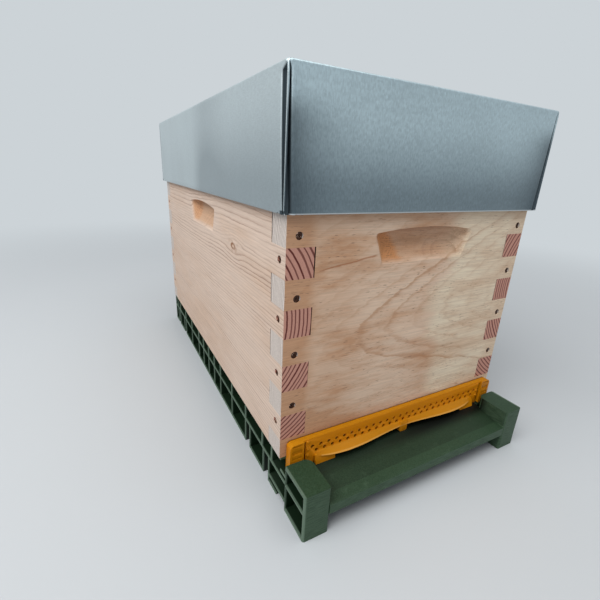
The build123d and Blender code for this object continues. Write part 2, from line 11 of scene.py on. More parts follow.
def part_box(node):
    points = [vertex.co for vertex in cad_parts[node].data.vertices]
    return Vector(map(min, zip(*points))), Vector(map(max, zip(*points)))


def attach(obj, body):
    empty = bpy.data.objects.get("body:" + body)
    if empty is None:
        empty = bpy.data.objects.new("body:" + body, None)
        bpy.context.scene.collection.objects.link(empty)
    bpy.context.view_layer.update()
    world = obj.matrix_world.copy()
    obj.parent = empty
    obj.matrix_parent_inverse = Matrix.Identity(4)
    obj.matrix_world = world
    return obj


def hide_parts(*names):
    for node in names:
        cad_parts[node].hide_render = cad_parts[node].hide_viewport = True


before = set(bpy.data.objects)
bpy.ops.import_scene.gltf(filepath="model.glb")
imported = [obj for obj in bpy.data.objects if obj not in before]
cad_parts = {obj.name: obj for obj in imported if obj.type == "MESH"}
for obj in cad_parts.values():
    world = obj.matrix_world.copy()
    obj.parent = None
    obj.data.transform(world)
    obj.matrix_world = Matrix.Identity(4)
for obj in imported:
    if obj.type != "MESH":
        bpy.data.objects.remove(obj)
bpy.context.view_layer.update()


# Floor: one injection moulding in dark green polypropylene, with open ribbed cells along its sides.
# Its edges are eased, and its skin has taken the fine sparked grain of the mould.
# It stands on the ground by itself and carries everything else.
class Value:
    """One socket of a node tree, which ordinary sums can be written with."""

    def __init__(self, tree, socket):
        self.tree = tree
        self.socket = socket

    def sum(self, operation, other=0.0, clamp=False):
        """This value and another in one Math node."""
        return add_node(self.tree, "Math", {0: self, 1: other}, operation=operation, use_clamp=clamp)

    __add__ = partialmethod(sum, "ADD")
    __sub__ = partialmethod(sum, "SUBTRACT")
    __mul__ = partialmethod(sum, "MULTIPLY")
    __truediv__ = partialmethod(sum, "DIVIDE")
    __pow__ = partialmethod(sum, "POWER")
    __lt__ = partialmethod(sum, "LESS_THAN")
    __gt__ = partialmethod(sum, "GREATER_THAN")
    __abs__ = partialmethod(sum, "ABSOLUTE")

    def __rsub__(self, other):
        return add_node(self.tree, "Math", {0: other, 1: self}, operation="SUBTRACT")

    def step(self, start, full):
        """0 at the start and 1 where it is full, turning smoothly between them."""
        return add_node(self.tree, "MapRange", {"Value": self, "From Min": start, "From Max": full},
                        interpolation_type="SMOOTHSTEP")

    def between(self, rise, fall):
        """1 between a rise and a fall, each given by where it is 0 and where it is 1."""
        return self.step(*rise) * self.step(*fall)

    def spread(self, low, high):
        """This share turned into a number from low to high."""
        return self * (high - low) + low

    def mix(self, first, second):
        """The first colour where this share is 0, and the second where it is 1."""
        first, second = [(*c, 1.0) if isinstance(c, tuple) else c for c in (first, second)]
        return add_node(self.tree, "Mix", {0: self, 6: first, 7: second}, 2, data_type="RGBA")

    def shaded(self, shade):
        """This colour times a number that changes over the surface."""
        return add_node(self.tree, "Mix", {0: 1.0, 6: self, 7: shade}, 2, data_type="RGBA",
                        blend_type="MULTIPLY")


def feed(sockets, inputs):
    """Inputs by name or number: a constant is set, a value is linked, and so is each value of a list."""
    for key, given in inputs.items():
        for value in given if isinstance(given, list) else [given]:
            if isinstance(value, Value):
                value.tree.links.new(value.socket, sockets[key])
            else:
                sockets[key].default_value = value


def add_node(tree, kind, inputs, out=0, **settings):
    """A shader node, or another kind by its full name, with its settings and inputs; gives an output."""
    node = tree.nodes.new(kind if "Node" in kind else "ShaderNode" + kind)
    for name, value in settings.items():
        setattr(node, name, value)
    feed(node.inputs, inputs)
    return Value(tree, node.outputs[out])


def named(tree, sockets):
    """A node's outputs by name."""
    return {socket.name: Value(tree, socket) for socket in sockets}


def parts_of(vector):
    """A vector's three numbers."""
    first = add_node(vector.tree, "SeparateXYZ", {0: vector})
    return [Value(vector.tree, socket) for socket in first.socket.node.outputs]


def noise(place, scale, detail=2.0, roughness=0.5):
    """Cloudy noise, from 0 to 1, at a scale per metre, which may differ each way."""
    if isinstance(scale, tuple):
        place = add_node(place.tree, "Mapping", {"Vector": place, "Scale": scale})
        scale = 1.0
    return add_node(place.tree, "TexNoise", {
        "Vector": place, "Scale": scale, "Detail": detail, "Roughness": roughness})


def painted(colour, *coats):
    """A colour with coats laid over it, each a share and its own colour."""
    for share, coat in coats:
        colour = share.mix(colour, coat)
    return colour


def new_tree(kind, name, inputs, outputs):
    """An empty node tree; an input that starts with a number is a size, and a word gives another kind."""
    tree = bpy.data.node_groups.new(name, kind + "NodeTree")
    add_socket = tree.interface.new_socket
    for label, start in inputs.items():
        if isinstance(start, float):
            add_socket(name=label, in_out="INPUT", socket_type="NodeSocketFloat").default_value = start
        else:
            add_socket(name=label, in_out="INPUT", socket_type="NodeSocket" + start)
    out_kind = "NodeSocketFloat" if kind == "Shader" else "NodeSocketGeometry"
    for label in outputs:
        add_socket(name=label, in_out="OUTPUT", socket_type=out_kind)
    given = named(tree, tree.nodes.new("NodeGroupInput").outputs)
    return tree, given, tree.nodes.new("NodeGroupOutput").inputs


def place_group(group, inputs):
    """A node group placed in the material of its linked inputs; gives its outputs by name."""
    tree = next(value.tree for value in inputs.values() if isinstance(value, Value))
    return named(tree, add_node(tree, "Group", inputs, node_tree=group).socket.node.outputs)


def new_material(name):
    """A material with a Principled shader, and its coordinates by name."""
    material = bpy.data.materials.new(name)
    material.use_nodes = True
    tree = material.node_tree
    return material, named(tree, tree.nodes.new("ShaderNodeTexCoord").outputs)


def finish_material(material, colour, roughness, relief=None, specular=0.5, metallic=0.0):
    """A material's shader set; a relief is its height, its depth in metres and its strength."""
    shader = material.node_tree.nodes["Principled BSDF"].inputs
    feed(shader, {"Base Color": colour, "Roughness": roughness,
                  "Specular IOR Level": specular, "Metallic": metallic})
    if relief:
        height, depth, strength = relief
        bump = add_node(height.tree, "Bump", {"Height": height, "Distance": depth, "Strength": strength})
        feed(shader, {"Normal": bump})


def linked(name, data):
    """A new object in the scene."""
    made = bpy.data.objects.new(name, data)
    bpy.context.scene.collection.objects.link(made)
    return made


def finished(name, mesh, material, body, slot_name, *nodes, sharp=35.0):
    """A finished mesh as a piece on its body, standing for the CAD nodes named."""
    mesh.materials.clear()
    mesh.materials.append(material)
    mesh.shade_smooth()
    mesh.set_sharp_from_angle(angle=math.radians(sharp))
    piece = linked(name, mesh)
    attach(piece, body)
    if nodes:
        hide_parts(*nodes)
    return piece


def taken_from(carrier):
    """A carrier's mesh with its modifier worked in; the carrier itself goes."""
    shape = carrier.evaluated_get(bpy.context.evaluated_depsgraph_get())
    result = bpy.data.meshes.new_from_object(shape)
    carrier.modifiers.clear()
    bpy.data.objects.remove(carrier)
    return result


def applied(mesh, kind, **settings):
    """The mesh with a modifier worked into it."""
    carrier = linked("carrier", mesh)
    modifier = carrier.modifiers.new(kind.lower(), kind)
    for name, value in settings.items():
        setattr(modifier, name, value)
    return taken_from(carrier)


def eased(mesh, width):
    """The mesh with every sharp edge rounded a little."""
    return applied(mesh, "BEVEL", width=width, segments=2, limit_method="ANGLE",
                   angle_limit=math.radians(30), use_clamp_overlap=True)


def mesh_of(shape, name):
    """A bmesh turned into a mesh."""
    mesh = bpy.data.meshes.new(name)
    shape.to_mesh(mesh)
    shape.free()
    return mesh


weld_gap = 2e-6


def welded_copy(node):
    """A CAD piece's faces as one welded mesh, with its flat faces whole again."""
    skin = bmesh.new()
    skin.from_mesh(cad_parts[node].data)
    bmesh.ops.remove_doubles(skin, verts=skin.verts, dist=weld_gap)
    bmesh.ops.dissolve_limit(skin, angle_limit=math.radians(0.5), verts=skin.verts, edges=skin.edges)
    return mesh_of(skin, node + "_skin")


def joined(*meshes):
    """Several meshes as one."""
    whole = bmesh.new()
    for mesh in meshes:
        whole.from_mesh(mesh)
    return mesh_of(whole, "joined")


X, Y, Z = 0, 1, 2
skin_group, skin_in, skin_out = new_tree(
    "Shader", "moulded_skin", {"Place": "Vector", "Grain Scale": 2500.0}, ["Tone", "Grain", "Scuff"])
scuff = noise(skin_in["Place"], (60.0, 60.0, 140.0), 6.0, 0.65)
feed(skin_out, {"Tone": noise(skin_in["Place"], 11.0, 3.0), "Scuff": scuff.step(0.56, 0.75),
                "Grain": noise(skin_in["Place"], skin_in["Grain Scale"])})


def new_skin_material(name, grain_scale):
    """A new material, its coordinates by name, and a fine skin at a scale per metre."""
    material, place = new_material(name)
    return material, place, place_group(skin_group, {"Place": place["Object"], "Grain Scale": grain_scale})


floor_low, floor_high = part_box("floor_moulding")
floor_green = (0.004, 0.019, 0.005)
floor_green_pale = (0.060, 0.106, 0.064)
floor_cell_shade = (0.004, 0.013, 0.005)
floor_rubbed_and_lit = (0.150, 0.210, 0.160)
landing_shade_colour = (0.0025, 0.0035, 0.0020)
hood_shadow_from = (-0.2565, -0.2425)
hood_shadow_aside = (-0.05, 0.04)
landing_lip_from = (-0.2757, -0.2768)
landing_lowest = 0.032
outer_face_start = floor_high.x - 0.0022
outer_face_full = floor_high.x - 0.0010
block_inner = 0.1185
cell_wall = 0.0028
cell_blend = 0.001
floor_edge = 0.0005
box_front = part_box("front_board")[0].y
floor_plastic, place, skin = new_skin_material("floor_plastic", 850.0)
spot = parts_of(place["Object"])
outward = abs(spot[X])
upright = abs(parts_of(place["Normal"])[Z]).step(0.7, 0.3)
# Painted light: upright faces are painted paler on average, carried by the fine horizontal tool marks of
# the mould
tool_marks_and_upright_light = noise(place["Object"], (90.0, 90.0, 1100.0), 3.0).spread(-0.38, 1.22)
worn_and_lit = skin["Tone"] * 0.4 - 0.15 + skin["Scuff"] * 0.3 + skin["Grain"] * 0.6
worn_and_lit = worn_and_lit.sum("ADD", upright * tool_marks_and_upright_light, clamp=True)
# Painted shade: the insides of the open cells are painted a darker green
in_cell = (outward.between((block_inner, block_inner + 2 * cell_blend), (outer_face_full, outer_face_start))
           * spot[Z].step(floor_high.z - cell_wall + cell_blend, floor_high.z - cell_wall)
           * spot[Y].step(floor_low.y + cell_wall - cell_blend, floor_low.y + cell_wall))
# The outermost faces are painted lighter: partly rubbing wear, partly painted light on the faces that catch
# the lamp
rubbed_and_lit = outward.step(outer_face_start, outer_face_full) * skin["Tone"].spread(0.3, 0.9)
on_landing = (outward < block_inner) * (spot[Y] < box_front) * (spot[Z] > landing_lowest)
# Painted shade on the landing: a painted shadow under the hood, deeper to the right, painted shade on the
# front lip, and the whole landing a little darker
landing_shade = spot[Y].step(*hood_shadow_from) * spot[X].step(*hood_shadow_aside).spread(0.36, 0.70)
landing_shade = (landing_shade + spot[Y].step(*landing_lip_from) * 0.22 + 0.30) * on_landing
colour = painted(worn_and_lit.mix(floor_green, floor_green_pale),
                 (in_cell, floor_cell_shade), (rubbed_and_lit, floor_rubbed_and_lit), (landing_shade, landing_shade_colour))
finish_material(floor_plastic, colour, skin["Grain"].spread(0.42, 0.58), (skin["Grain"], 0.00006, 0.6),
                specular=0.15)

# Each back corner of the moulding is closed by a wall, which the last cells of the side and the back share
corner_inner = 0.1300
corner_outer = 0.1434
corner_wall = 0.0020
corner_inset = 0.0006
corner_foot = 0.0008
corner_top = floor_high.z - 0.0020
corner_size = Matrix.Diagonal((corner_outer - corner_inner, corner_wall, corner_top - corner_foot)).to_4x4()
walls = bmesh.new()
for side in (-1, 1):
    middle = Matrix.Translation((
        side * (corner_inner + corner_outer) / 2, floor_high.y - corner_inset - corner_wall / 2,
        (corner_foot + corner_top) / 2))
    bmesh.ops.create_cube(walls, size=1.0, matrix=middle @ corner_size)
mesh = eased(joined(welded_copy("floor_moulding"), mesh_of(walls, "corner_walls")), floor_edge)
finished("floor_skin", mesh, floor_plastic, "floor", "floor_plastic", "floor_moulding", sharp=25.0)


# Entrance guard: one small moulding in amber plastic that stands on the floor's sill, held by its clips.
# Two staggered rows of round air holes, each with a small moulded lip, run above its two-lobed hood.
def shape_node(tree, kind, inputs, out=0, **settings):
    """A geometry node; gives an output."""
    return add_node(tree, "GeometryNode" + kind, inputs, out, **settings)


def new_shape_tree(name, inputs):
    """An empty geometry tree that works on the mesh it is given, with inputs of its own."""
    return new_tree("Geometry", name, {"Geometry": "Geometry", **inputs}, ["Geometry"])


def put_out(shape, given, outputs):
    """A shape as its tree's result, in the material that the tree is given."""
    dressed = shape_node(shape.tree, "SetMaterial", {"Geometry": shape, "Material": given["Material"]})
    feed(outputs, {"Geometry": dressed})


def set_on(points, shape, **placing):
    """A shape set on every point and made real."""
    spread = shape_node(shape.tree, "InstanceOnPoints", {"Points": points, "Instance": shape, **placing})
    return shape_node(shape.tree, "RealizeInstances", {"Geometry": spread})


def grown(mesh, tree, inputs):
    """The plain mesh that a geometry tree makes of a mesh, with the tree's named inputs set."""
    carrier = linked("carrier", mesh)
    modifier = carrier.modifiers.new("grow", "NODES")
    modifier.node_group = tree
    for socket in tree.interface.items_tree:
        if socket.in_out == "INPUT" and socket.name in inputs:
            modifier[socket.identifier] = inputs[socket.name]
    return taken_from(carrier)


def places_mesh(name, spots, ways=()):
    """Bare points for a geometry node tree to build on, with the way that each one faces."""
    mesh = bpy.data.meshes.new(name)
    mesh.from_pydata(spots, [], [])
    if ways:
        stored = mesh.attributes.new("way", "FLOAT_VECTOR", "POINT")
        for value, way in zip(stored.data, ways):
            value.vector = way
    return mesh


guard_low, guard_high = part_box("entrance_guard")
guard_amber = (0.510, 0.165, 0.002)
guard_amber_pale = (0.600, 0.238, 0.003)
guard_panel_light = (0.720, 0.242, 0.003)
hole_wall_shade = (0.560, 0.120, 0.008)
guard_top_light = (0.470, 0.185, 0.003)
guard_rear_shade = (0.140, 0.050, 0.003)
hood_highlight = (0.700, 0.400, 0.110)
panel_front = guard_high.y - 0.0061
panel_light_from = (panel_front - 0.0010, panel_front - 0.0003)
hole_half_row = 0.113
hole_from = (panel_front + 0.0001, panel_front + 0.0006)
hole_highest = guard_high.z - 0.003
hole_furthest = hole_half_row + 0.004
hood_edge = guard_low.z + 0.0072
hood_lowest = hood_edge - 0.0002
hood_until = (hood_edge + 0.0013, hood_edge + 0.0006)
hood_half = 0.104
hood_front = panel_front - 0.0015
rear_shade_from = (guard_high.y - 0.00110, guard_high.y - 0.00055)
guard_plastic, place, skin = new_skin_material("guard_plastic", 2600.0)
spot = parts_of(place["Object"])
facing = parts_of(place["Normal"])
outward = abs(spot[X])
flat_on = abs(facing[Y]).step(0.3, 0.7)
# Painted light: faces that look upwards get a yellower amber of their own, for the light from above
upward = facing[Z].step(0.35, 0.75)
# Painted light: the panel's front and the faces behind it that look forward or back get a brighter, deeper
# amber, as if lit through the thin plastic
panel_light = spot[Y].step(*panel_light_from) * flat_on * 0.8
# Painted shade: the walls inside the air holes are painted a deeper, redder amber
hole_wall = (spot[Y].step(*hole_from) * (1.0 - flat_on)
             * (spot[Z] < hole_highest) * (outward < hole_furthest))
# Painted highlight: a pale line along the lower edge of the hood
hood_edge_highlight = (spot[Z].step(*hood_until) * (spot[Z] > hood_lowest)
            * (spot[Y] < hood_front) * (outward < hood_half) * 0.4)
# Painted shade: a dark strip at the back of the top, where the guard meets the board
rear_shade = spot[Y].step(*rear_shade_from) * upward
colour = painted(skin["Tone"].mix(guard_amber, guard_amber_pale), (panel_light, guard_panel_light),
                 (hole_wall, hole_wall_shade), (upward, guard_top_light), (hood_edge_highlight, hood_highlight), (rear_shade, guard_rear_shade))
finish_material(guard_plastic, colour, skin["Grain"].spread(0.36, 0.48), (skin["Grain"], 0.00004, 0.5),
                specular=0.15)

lip_tree, lip_in, lip_out = new_shape_tree("hole_lips", {
    "Hole Radius": 0.0018, "Lip Radius": 0.0003, "Material": "Material"})
lip_line = shape_node(lip_tree, "CurvePrimitiveCircle", {
    "Resolution": 20, "Radius": lip_in["Hole Radius"] + lip_in["Lip Radius"]})
lip_section = shape_node(lip_tree, "CurvePrimitiveCircle", {
    "Resolution": 6, "Radius": lip_in["Lip Radius"]})
lip = shape_node(lip_tree, "CurveToMesh", {"Curve": lip_line, "Profile Curve": lip_section})
put_out(set_on(lip_in["Geometry"], lip, Rotation=(math.pi / 2, 0, 0)), lip_in, lip_out)

boss_tree, boss_in, boss_out = new_shape_tree("guard_bosses", {
    "Radius": 0.0016, "Height": 0.0011, "Material": "Material"})
dome = shape_node(boss_tree, "MeshUVSphere", {"Segments": 14, "Rings": 8, "Radius": boss_in["Radius"]})
flatten = add_node(boss_tree, "CombineXYZ", {0: 1.0, 1: boss_in["Height"] / boss_in["Radius"], 2: 1.0})
put_out(set_on(boss_in["Geometry"], dome, Scale=flatten), boss_in, boss_out)

guard_edge = 0.0003
lip_sunk = 0.00014
hole_count = 26
hole_pitch = 2 * hole_half_row / (hole_count - 1)
upper_row = guard_low.z + 0.0193
lower_row = upper_row - 0.0052
boss_x = 0.1182
boss_levels = (0.0110, 0.0175, 0.0260)
hole_spots = []
for count, level in ((hole_count, upper_row), (hole_count - 1, lower_row)):
    for i in range(count):
        hole_spots.append((hole_pitch * (i - (count - 1) / 2), panel_front + lip_sunk, level))
boss_spots = [(s * boss_x, panel_front, guard_low.z + z) for s in (-1, 1) for z in boss_levels]
lip_mesh = grown(places_mesh("hole_places", hole_spots), lip_tree, {"Material": guard_plastic})
boss_mesh = grown(places_mesh("boss_places", boss_spots), boss_tree, {"Material": guard_plastic})
mesh = joined(eased(welded_copy("entrance_guard"), guard_edge), lip_mesh, boss_mesh)
finished("guard_skin", mesh, guard_plastic, "guard", "guard_plastic", "entrance_guard", sharp=25.0)


# Box: four solid pine boards, planed and left bare, glued and screwed at their finger joints.
# Each is one wide flat-sawn board, so its face shows arched rings and its finger ends show them cut across.
# A cutter has milled the hand-holds, and a drill has sunk a seat for every screw.
pine_group, pine_in, pine_out = new_tree(
    "Shader", "pine_grain",
    {"Along": 0.0, "Across": 0.0, "Through": 0.0, "Pith Across": 0.0, "Pith Through": 0.0, "Lean": 0.0,
     "Taper": 0.0, "Ring": 0.004, "First Ring": 0.0, "Season": 1.3, "Late Width": 0.0006, "Band": 0.0,
     "Drift": 0.01, "Ragged": 0.16, "Bold Ring": 0.0, "Bold Reach": 1000.0,
     "Knot Along": 0.0, "Knot Across": 0.0, "Knot Radius": 0.0},
    ["Late Wood", "Sawn Ring", "Tone", "Mottle", "Fibre", "Fleck", "Knot", "Knot Heart", "Knot Halo"])


def grain_noise(along, across, detail=2.0, roughness=0.5):
    """Noise in the wood, scaled along and across its grain."""
    place = add_node(pine_group, "CombineXYZ", {
        0: pine_in["Along"] * along, 1: pine_in["Across"] * across, 2: pine_in["Through"] * across})
    return noise(place, 1.0, detail, roughness)


def ring_noise(radius, scale):
    """Noise that changes only from ring to ring."""
    return add_node(pine_group, "TexNoise", {"W": radius, "Scale": scale, "Detail": 1.0},
                    noise_dimensions="1D")


def bell(distance, width):
    """1 at no distance, falling away smoothly over a width."""
    return ((distance / width) ** 2.0 * -1.0).sum("EXPONENT")


def straight_gap(first, second):
    """The straight distance made by two distances at right angles."""
    return (first ** 2.0 + second ** 2.0).sum("SQRT")


# Rings stand round the pith, drift with the trunk and part round a knot
pith_across = pine_in["Across"] - pine_in["Pith Across"] - pine_in["Lean"] * pine_in["Along"]
pith_through = pine_in["Through"] - pine_in["Pith Through"]
pith_gap = straight_gap(pith_across, pith_through)
quick_drift = (grain_noise(45.0, 170.0, 4.0) - 0.5) * pine_in["Ragged"]
drift = (grain_noise(3.4, 9.0) - 0.5 + quick_drift) * pine_in["Drift"]
knot_along = pine_in["Along"] - pine_in["Knot Along"]
knot_across = pine_in["Across"] - pine_in["Knot Across"]
knot_gap = straight_gap(knot_along * 0.45, knot_across)
knot_reach = knot_gap / pine_in["Knot Radius"].sum("MAXIMUM", 1e-5)
knot_parting = knot_across * bell(knot_reach, 4.7) * (pith_across / pith_gap) * 0.9
radius = pith_gap - pine_in["Taper"] * pine_in["Along"] + drift - knot_parting
ring_count = radius / pine_in["Ring"] + pine_in["First Ring"] + ring_noise(radius, 70.0) * pine_in["Season"]
ring_part = ring_count.sum("FRACT")
ring_end = ring_part.step(1.0, 0.92)
ring_chance = add_node(pine_group, "TexWhiteNoise", {"W": ring_count.sum("FLOOR")}, noise_dimensions="1D")

# Late wood darkens towards each ring's end, and its lines come and go along the board
late_wood = (ring_part.step(0.35, 0.92) * 0.42 + ring_part.step(0.70, 0.90) * 0.58) * ring_end
for shown, share in ((ring_chance, 0.45), (grain_noise(7.0, 45.0).step(0.30, 0.62), 0.6),
                     (ring_noise(radius, 34.0).step(0.36, 0.60), pine_in["Band"]),
                     (bell(ring_count - pine_in["Bold Ring"], pine_in["Bold Reach"]), 0.75)):
    late_wood = late_wood * (1.0 - (1.0 - shown) * share)
sawn_start = 0.71 - pine_in["Late Width"] / pine_in["Ring"]
knot_ring = knot_reach.between((0.42, 0.70), (1.55, 1.10))
feed(pine_out, {
    "Late Wood": late_wood * (1.0 - bell(knot_reach, 2.2)),
    "Sawn Ring": ring_part.step(sawn_start, sawn_start + 0.14) * ring_end * ring_chance.spread(0.80, 1.0),
    "Tone": grain_noise(5.0, 16.0, 3.0),
    "Mottle": grain_noise(22.0, 85.0, 5.0, 0.62),
    "Fibre": grain_noise(26.0, 900.0, 3.0, 0.6),
    "Fleck": grain_noise(150.0, 1500.0, 1.0).step(0.65, 0.75),
    "Knot": knot_ring * knot_along.step(-0.003, 0.003).spread(0.65, 1.0),
    "Knot Heart": knot_reach.step(0.62, 0.40),
    "Knot Halo": bell(knot_reach, 2.5) * grain_noise(110.0, 200.0).step(0.45, 0.62)})

knot_brown = (0.24, 0.105, 0.045)
knot_pale = (0.62, 0.46, 0.34)
fleck_brown = (0.16, 0.085, 0.05)
milled_orange = (0.54, 0.270, 0.130)
milled_brown = (0.290, 0.130, 0.066)
milled_tan = (0.490, 0.305, 0.180)
ramp_orange = (0.600, 0.255, 0.085)
streak_orange = (0.380, 0.140, 0.055)
joint_shade_brown = (0.030, 0.016, 0.010)
roof_edge_shade_brown = (0.420, 0.235, 0.140)
seat_shade_brown = (0.045, 0.018, 0.008)
sap_pale = (0.790, 0.680, 0.515)
hold_half_width = 0.0615
hold_bottom = 0.2215
hold_top = 0.2575
hold_middle = (hold_bottom + hold_top) / 2
hold_run_out = 0.014
hold_shade = 0.012
milled_from = (0.0002, 0.0045)
heart_aside = 0.030
heart_level = 0.2315
heart_ring = 0.0062
heart_reach = (0.028, 0.012)
heart_clear = (0.003, 0.009)
burn_from = (0.026, 0.036)
burn_lean = 0.35
burn_ragged = 0.016
foot_stain = (0.112, 0.072)
roof_edge_shade_from = (0.2585, 0.2685)
roof_edge_shade_until = (0.2760, 0.2720)
seat_shade_from = (0.0004, 0.0007)
seat_end = 0.004
end_stain = (0.108, 0.130)
warm_stain = (-0.050, -0.095)
bulge_from = (0.120, 0.155)
bulge_until = (0.215, 0.180)
bulge_reach = 0.018
sap_ragged = 0.060
streak_half = (0.0012, 0.0002)
streak_fade = (0.012, 0.004)
streak_ragged = 0.006


def hold_marks(spot, axes, hold):
    """How far aside of a hand-hold and how deep a spot lies, and the shares that are inside and milled."""
    along, _, through = axes
    aside = spot[along] - hold["middle"]
    depth = (spot[through] - hold["face"]) * hold["inward"]
    inside = (abs(aside) < hold_half_width) * (spot[Z] > hold_bottom) * (spot[Z] < hold_top)
    return aside, depth, inside, inside * depth.step(*milled_from)


def hold_coats(place, spot, pine, hold, marks):
    """Coats of a face with a hand-hold: painted shadow under the roof's edge, tanned and burnt milling, cut
    rings, painted shade under the hold's top and in the screw seats.
    """
    aside, depth, inside, milled = marks
    aside = aside * hold["burnt end"]
    level = spot[Z]
    mottle = pine["Mottle"]
    # Painted shadow: a brown band just under the roof's edge
    roof_edge_shade = level.between(roof_edge_shade_from, roof_edge_shade_until) * mottle.spread(0.15, 0.65)
    tint = milled * level.step(hold_bottom, hold_bottom + hold_run_out) * pine["Tone"] * 0.6
    ramp = aside + (mottle - 0.5) * burn_ragged - (level - hold_middle) * burn_lean
    ramp = milled * ramp.step(*burn_from)
    heart_gap = straight_gap((aside + heart_aside) * 0.6, level - heart_level)
    cut_ring = (heart_gap / heart_ring + mottle * 0.5).sum("FRACT").step(0.45, 0.95)
    cut_ring = cut_ring * milled * heart_gap.between(heart_clear, heart_reach) * 0.22
    shade = milled * level.step(hold_top - hold_shade, hold_top) * 0.5
    speck = noise(place["Object"], 900.0, 1.0).step(0.58, 0.68) * ramp.spread(0.15, 0.75) * milled
    # Painted shade: the walls of the screw seats are painted a near-black brown
    seat_shade = depth.step(*seat_shade_from) * (depth < seat_end) * (1.0 - inside)
    return [(roof_edge_shade, roof_edge_shade_brown), (milled * hold["tan"], milled_tan), (tint, milled_orange),
            (ramp * hold["burn"], ramp_orange), (cut_ring, milled_brown), (shade, milled_brown),
            (speck, milled_brown), (seat_shade, seat_shade_brown)]


def sap_share(spot, axes, pine, stained, sap):
    """How far heartwood has turned to sapwood, whose edge bulges at mid-height."""
    along, across, _ = axes
    bulge = spot[across].between(bulge_from, bulge_until) * bulge_reach
    turned = (spot[along] + (pine["Mottle"] - 0.5) * sap_ragged + bulge).step(*sap)
    return turned * (1.0 - stained * 0.5) * pine["Fibre"].spread(0.5, 1.2)


def resin_share(spot, axes, pine, streak):
    """A thin line of resin, from its start and level down a slope to its end."""
    along, across, _ = axes
    start, level, slope, last = streak
    far_fade, near_fade = streak_fade
    off_line = spot[across] - level - (spot[along] - start) * slope + (pine["Mottle"] - 0.5) * streak_ragged
    shown = spot[along].between((last, last + far_fade), (start + near_fade, start))
    return abs(off_line).step(*streak_half) * shown * 0.75


def pine_material(name, axes, wood, tones, line=0.5, flecks=0.3, ends=None, hold=None, sap=None,
                  streak=None):
    """Bare planed pine: axes give its grain, width and thickness, wood its rings, tones its colours.

    Line and flecks say how strongly they show. Ends gives the rings of the sawn ends and the level
    where they change. Hold is a face with a hand-hold, sap the stretch of it where heartwood turns to
    sapwood, and streak a line of resin.
    """
    along, across, through = axes
    material, place = new_material(name)
    spot = parts_of(place["Object"])
    facing = abs(parts_of(place["Normal"])[along])
    grain = {"Along": spot[along], "Across": spot[across], "Through": spot[through]}
    pine = place_group(pine_group, {**grain, **wood})
    mottle = pine["Mottle"]
    stained = pine["Tone"] + mottle * 0.5 + spot[Z].step(*foot_stain) * tones["foot"] - 0.25
    stained = stained.step(0.41, 0.74)
    if sap:
        stained = stained.sum("MAXIMUM", abs(spot[along]).step(*end_stain) * mottle.spread(0.3, 1.2))
        stained = stained.sum("ADD", spot[along].step(*warm_stain) * mottle.spread(0.2, 0.6), clamp=True)
    planed = stained.mix(tones["face"], tones["stain"])
    lines = pine["Late Wood"] * line
    if hold:
        marks = hold_marks(spot, axes, hold)
        aside, _, inside, milled = marks
        uncut = 1.0 - milled * 0.25
        lines = lines * uncut
        if sap:
            planed = (sap_share(spot, axes, pine, stained, sap) * uncut).mix(planed, sap_pale)
    planed = lines.mix(planed, tones["late"])
    if streak:
        planed = resin_share(spot, axes, pine, streak).mix(planed, streak_orange)
    if hold:
        planed = painted(planed, *hold_coats(place, spot, pine, hold, marks))
    planed = (pine["Fleck"] * mottle.step(0.36, 0.54) * flecks).mix(planed, fleck_brown)
    sawn_ring = pine["Sawn Ring"]
    if ends:
        end_wood, lower_ring, upper_ring, ring_change = ends
        ring = (spot[across] > ring_change).spread(lower_ring, upper_ring)
        sawn_ring = place_group(pine_group, {**grain, **end_wood, "Ring": ring})["Sawn Ring"]
    colour = facing.step(0.75, 0.92).mix(planed, sawn_ring.mix(tones["end"], tones["end late"]))
    if hold:
        # Painted shade: the walls of the open finger joints are painted dark brown
        joint = facing.step(0.50, 0.65) * (abs(aside) < hold["joint"]) * (1.0 - inside)
        colour = joint.mix(colour, joint_shade_brown)
    colour = painted(colour, (pine["Knot Halo"] * 0.6, knot_brown), (pine["Knot"] * 0.95, knot_brown),
                     (pine["Knot Heart"] * 0.6, knot_pale))
    colour = colour.shaded(pine["Fibre"].spread(0.74, 1.26))
    finish_material(material, colour, pine["Fibre"].spread(0.52, 0.72),
                    (pine["Fibre"] + pine["Late Wood"] * 0.5, 0.00012, 0.5), specular=0.3)
    return material


box_low = Vector(map(min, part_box("left_board")[0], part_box("front_board")[0]))
box_high = Vector(map(max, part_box("right_board")[1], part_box("back_board")[1]))
box_middle_y = (box_low.y + box_high.y) / 2
board_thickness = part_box("left_board")[1].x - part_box("left_board")[0].x
inside_half_x = (box_high.x - box_low.x) / 2 - board_thickness
inside_half_y = (box_high.y - box_low.y) / 2 - board_thickness
joint_reach = 0.01
side_tones = {"face": (0.615, 0.480, 0.392), "stain": (0.580, 0.425, 0.325), "late": (0.250, 0.135, 0.092),
              "end": (0.545, 0.272, 0.208), "end late": (0.105, 0.013, 0.009), "foot": 0.06}
front_tones = {"face": (0.715, 0.532, 0.398), "stain": (0.530, 0.300, 0.175), "late": (0.400, 0.175, 0.070),
               "end": (0.600, 0.535, 0.492), "end late": (0.365, 0.305, 0.270), "foot": 0.13}
side_axes = (Y, Z, X)
front_axes = (X, Z, Y)
side_hold = {"middle": box_middle_y, "burn": 0.35, "tan": 0.7, "joint": inside_half_y + joint_reach}
front_hold = {"middle": 0.0, "burn": 0.8, "tan": 0.1, "joint": inside_half_x + joint_reach}
side_end = {"Pith Across": 0.185, "Drift": 0.005, "Season": 1.0}
side_end_pith = 0.2165
side_rings = (0.0039, 0.0050, 0.2075)
front_ends = ({"Pith Across": 0.17, "Pith Through": -0.60, "Drift": 0.006}, 0.0024, 0.0024, 0.0)
board_woods = {}
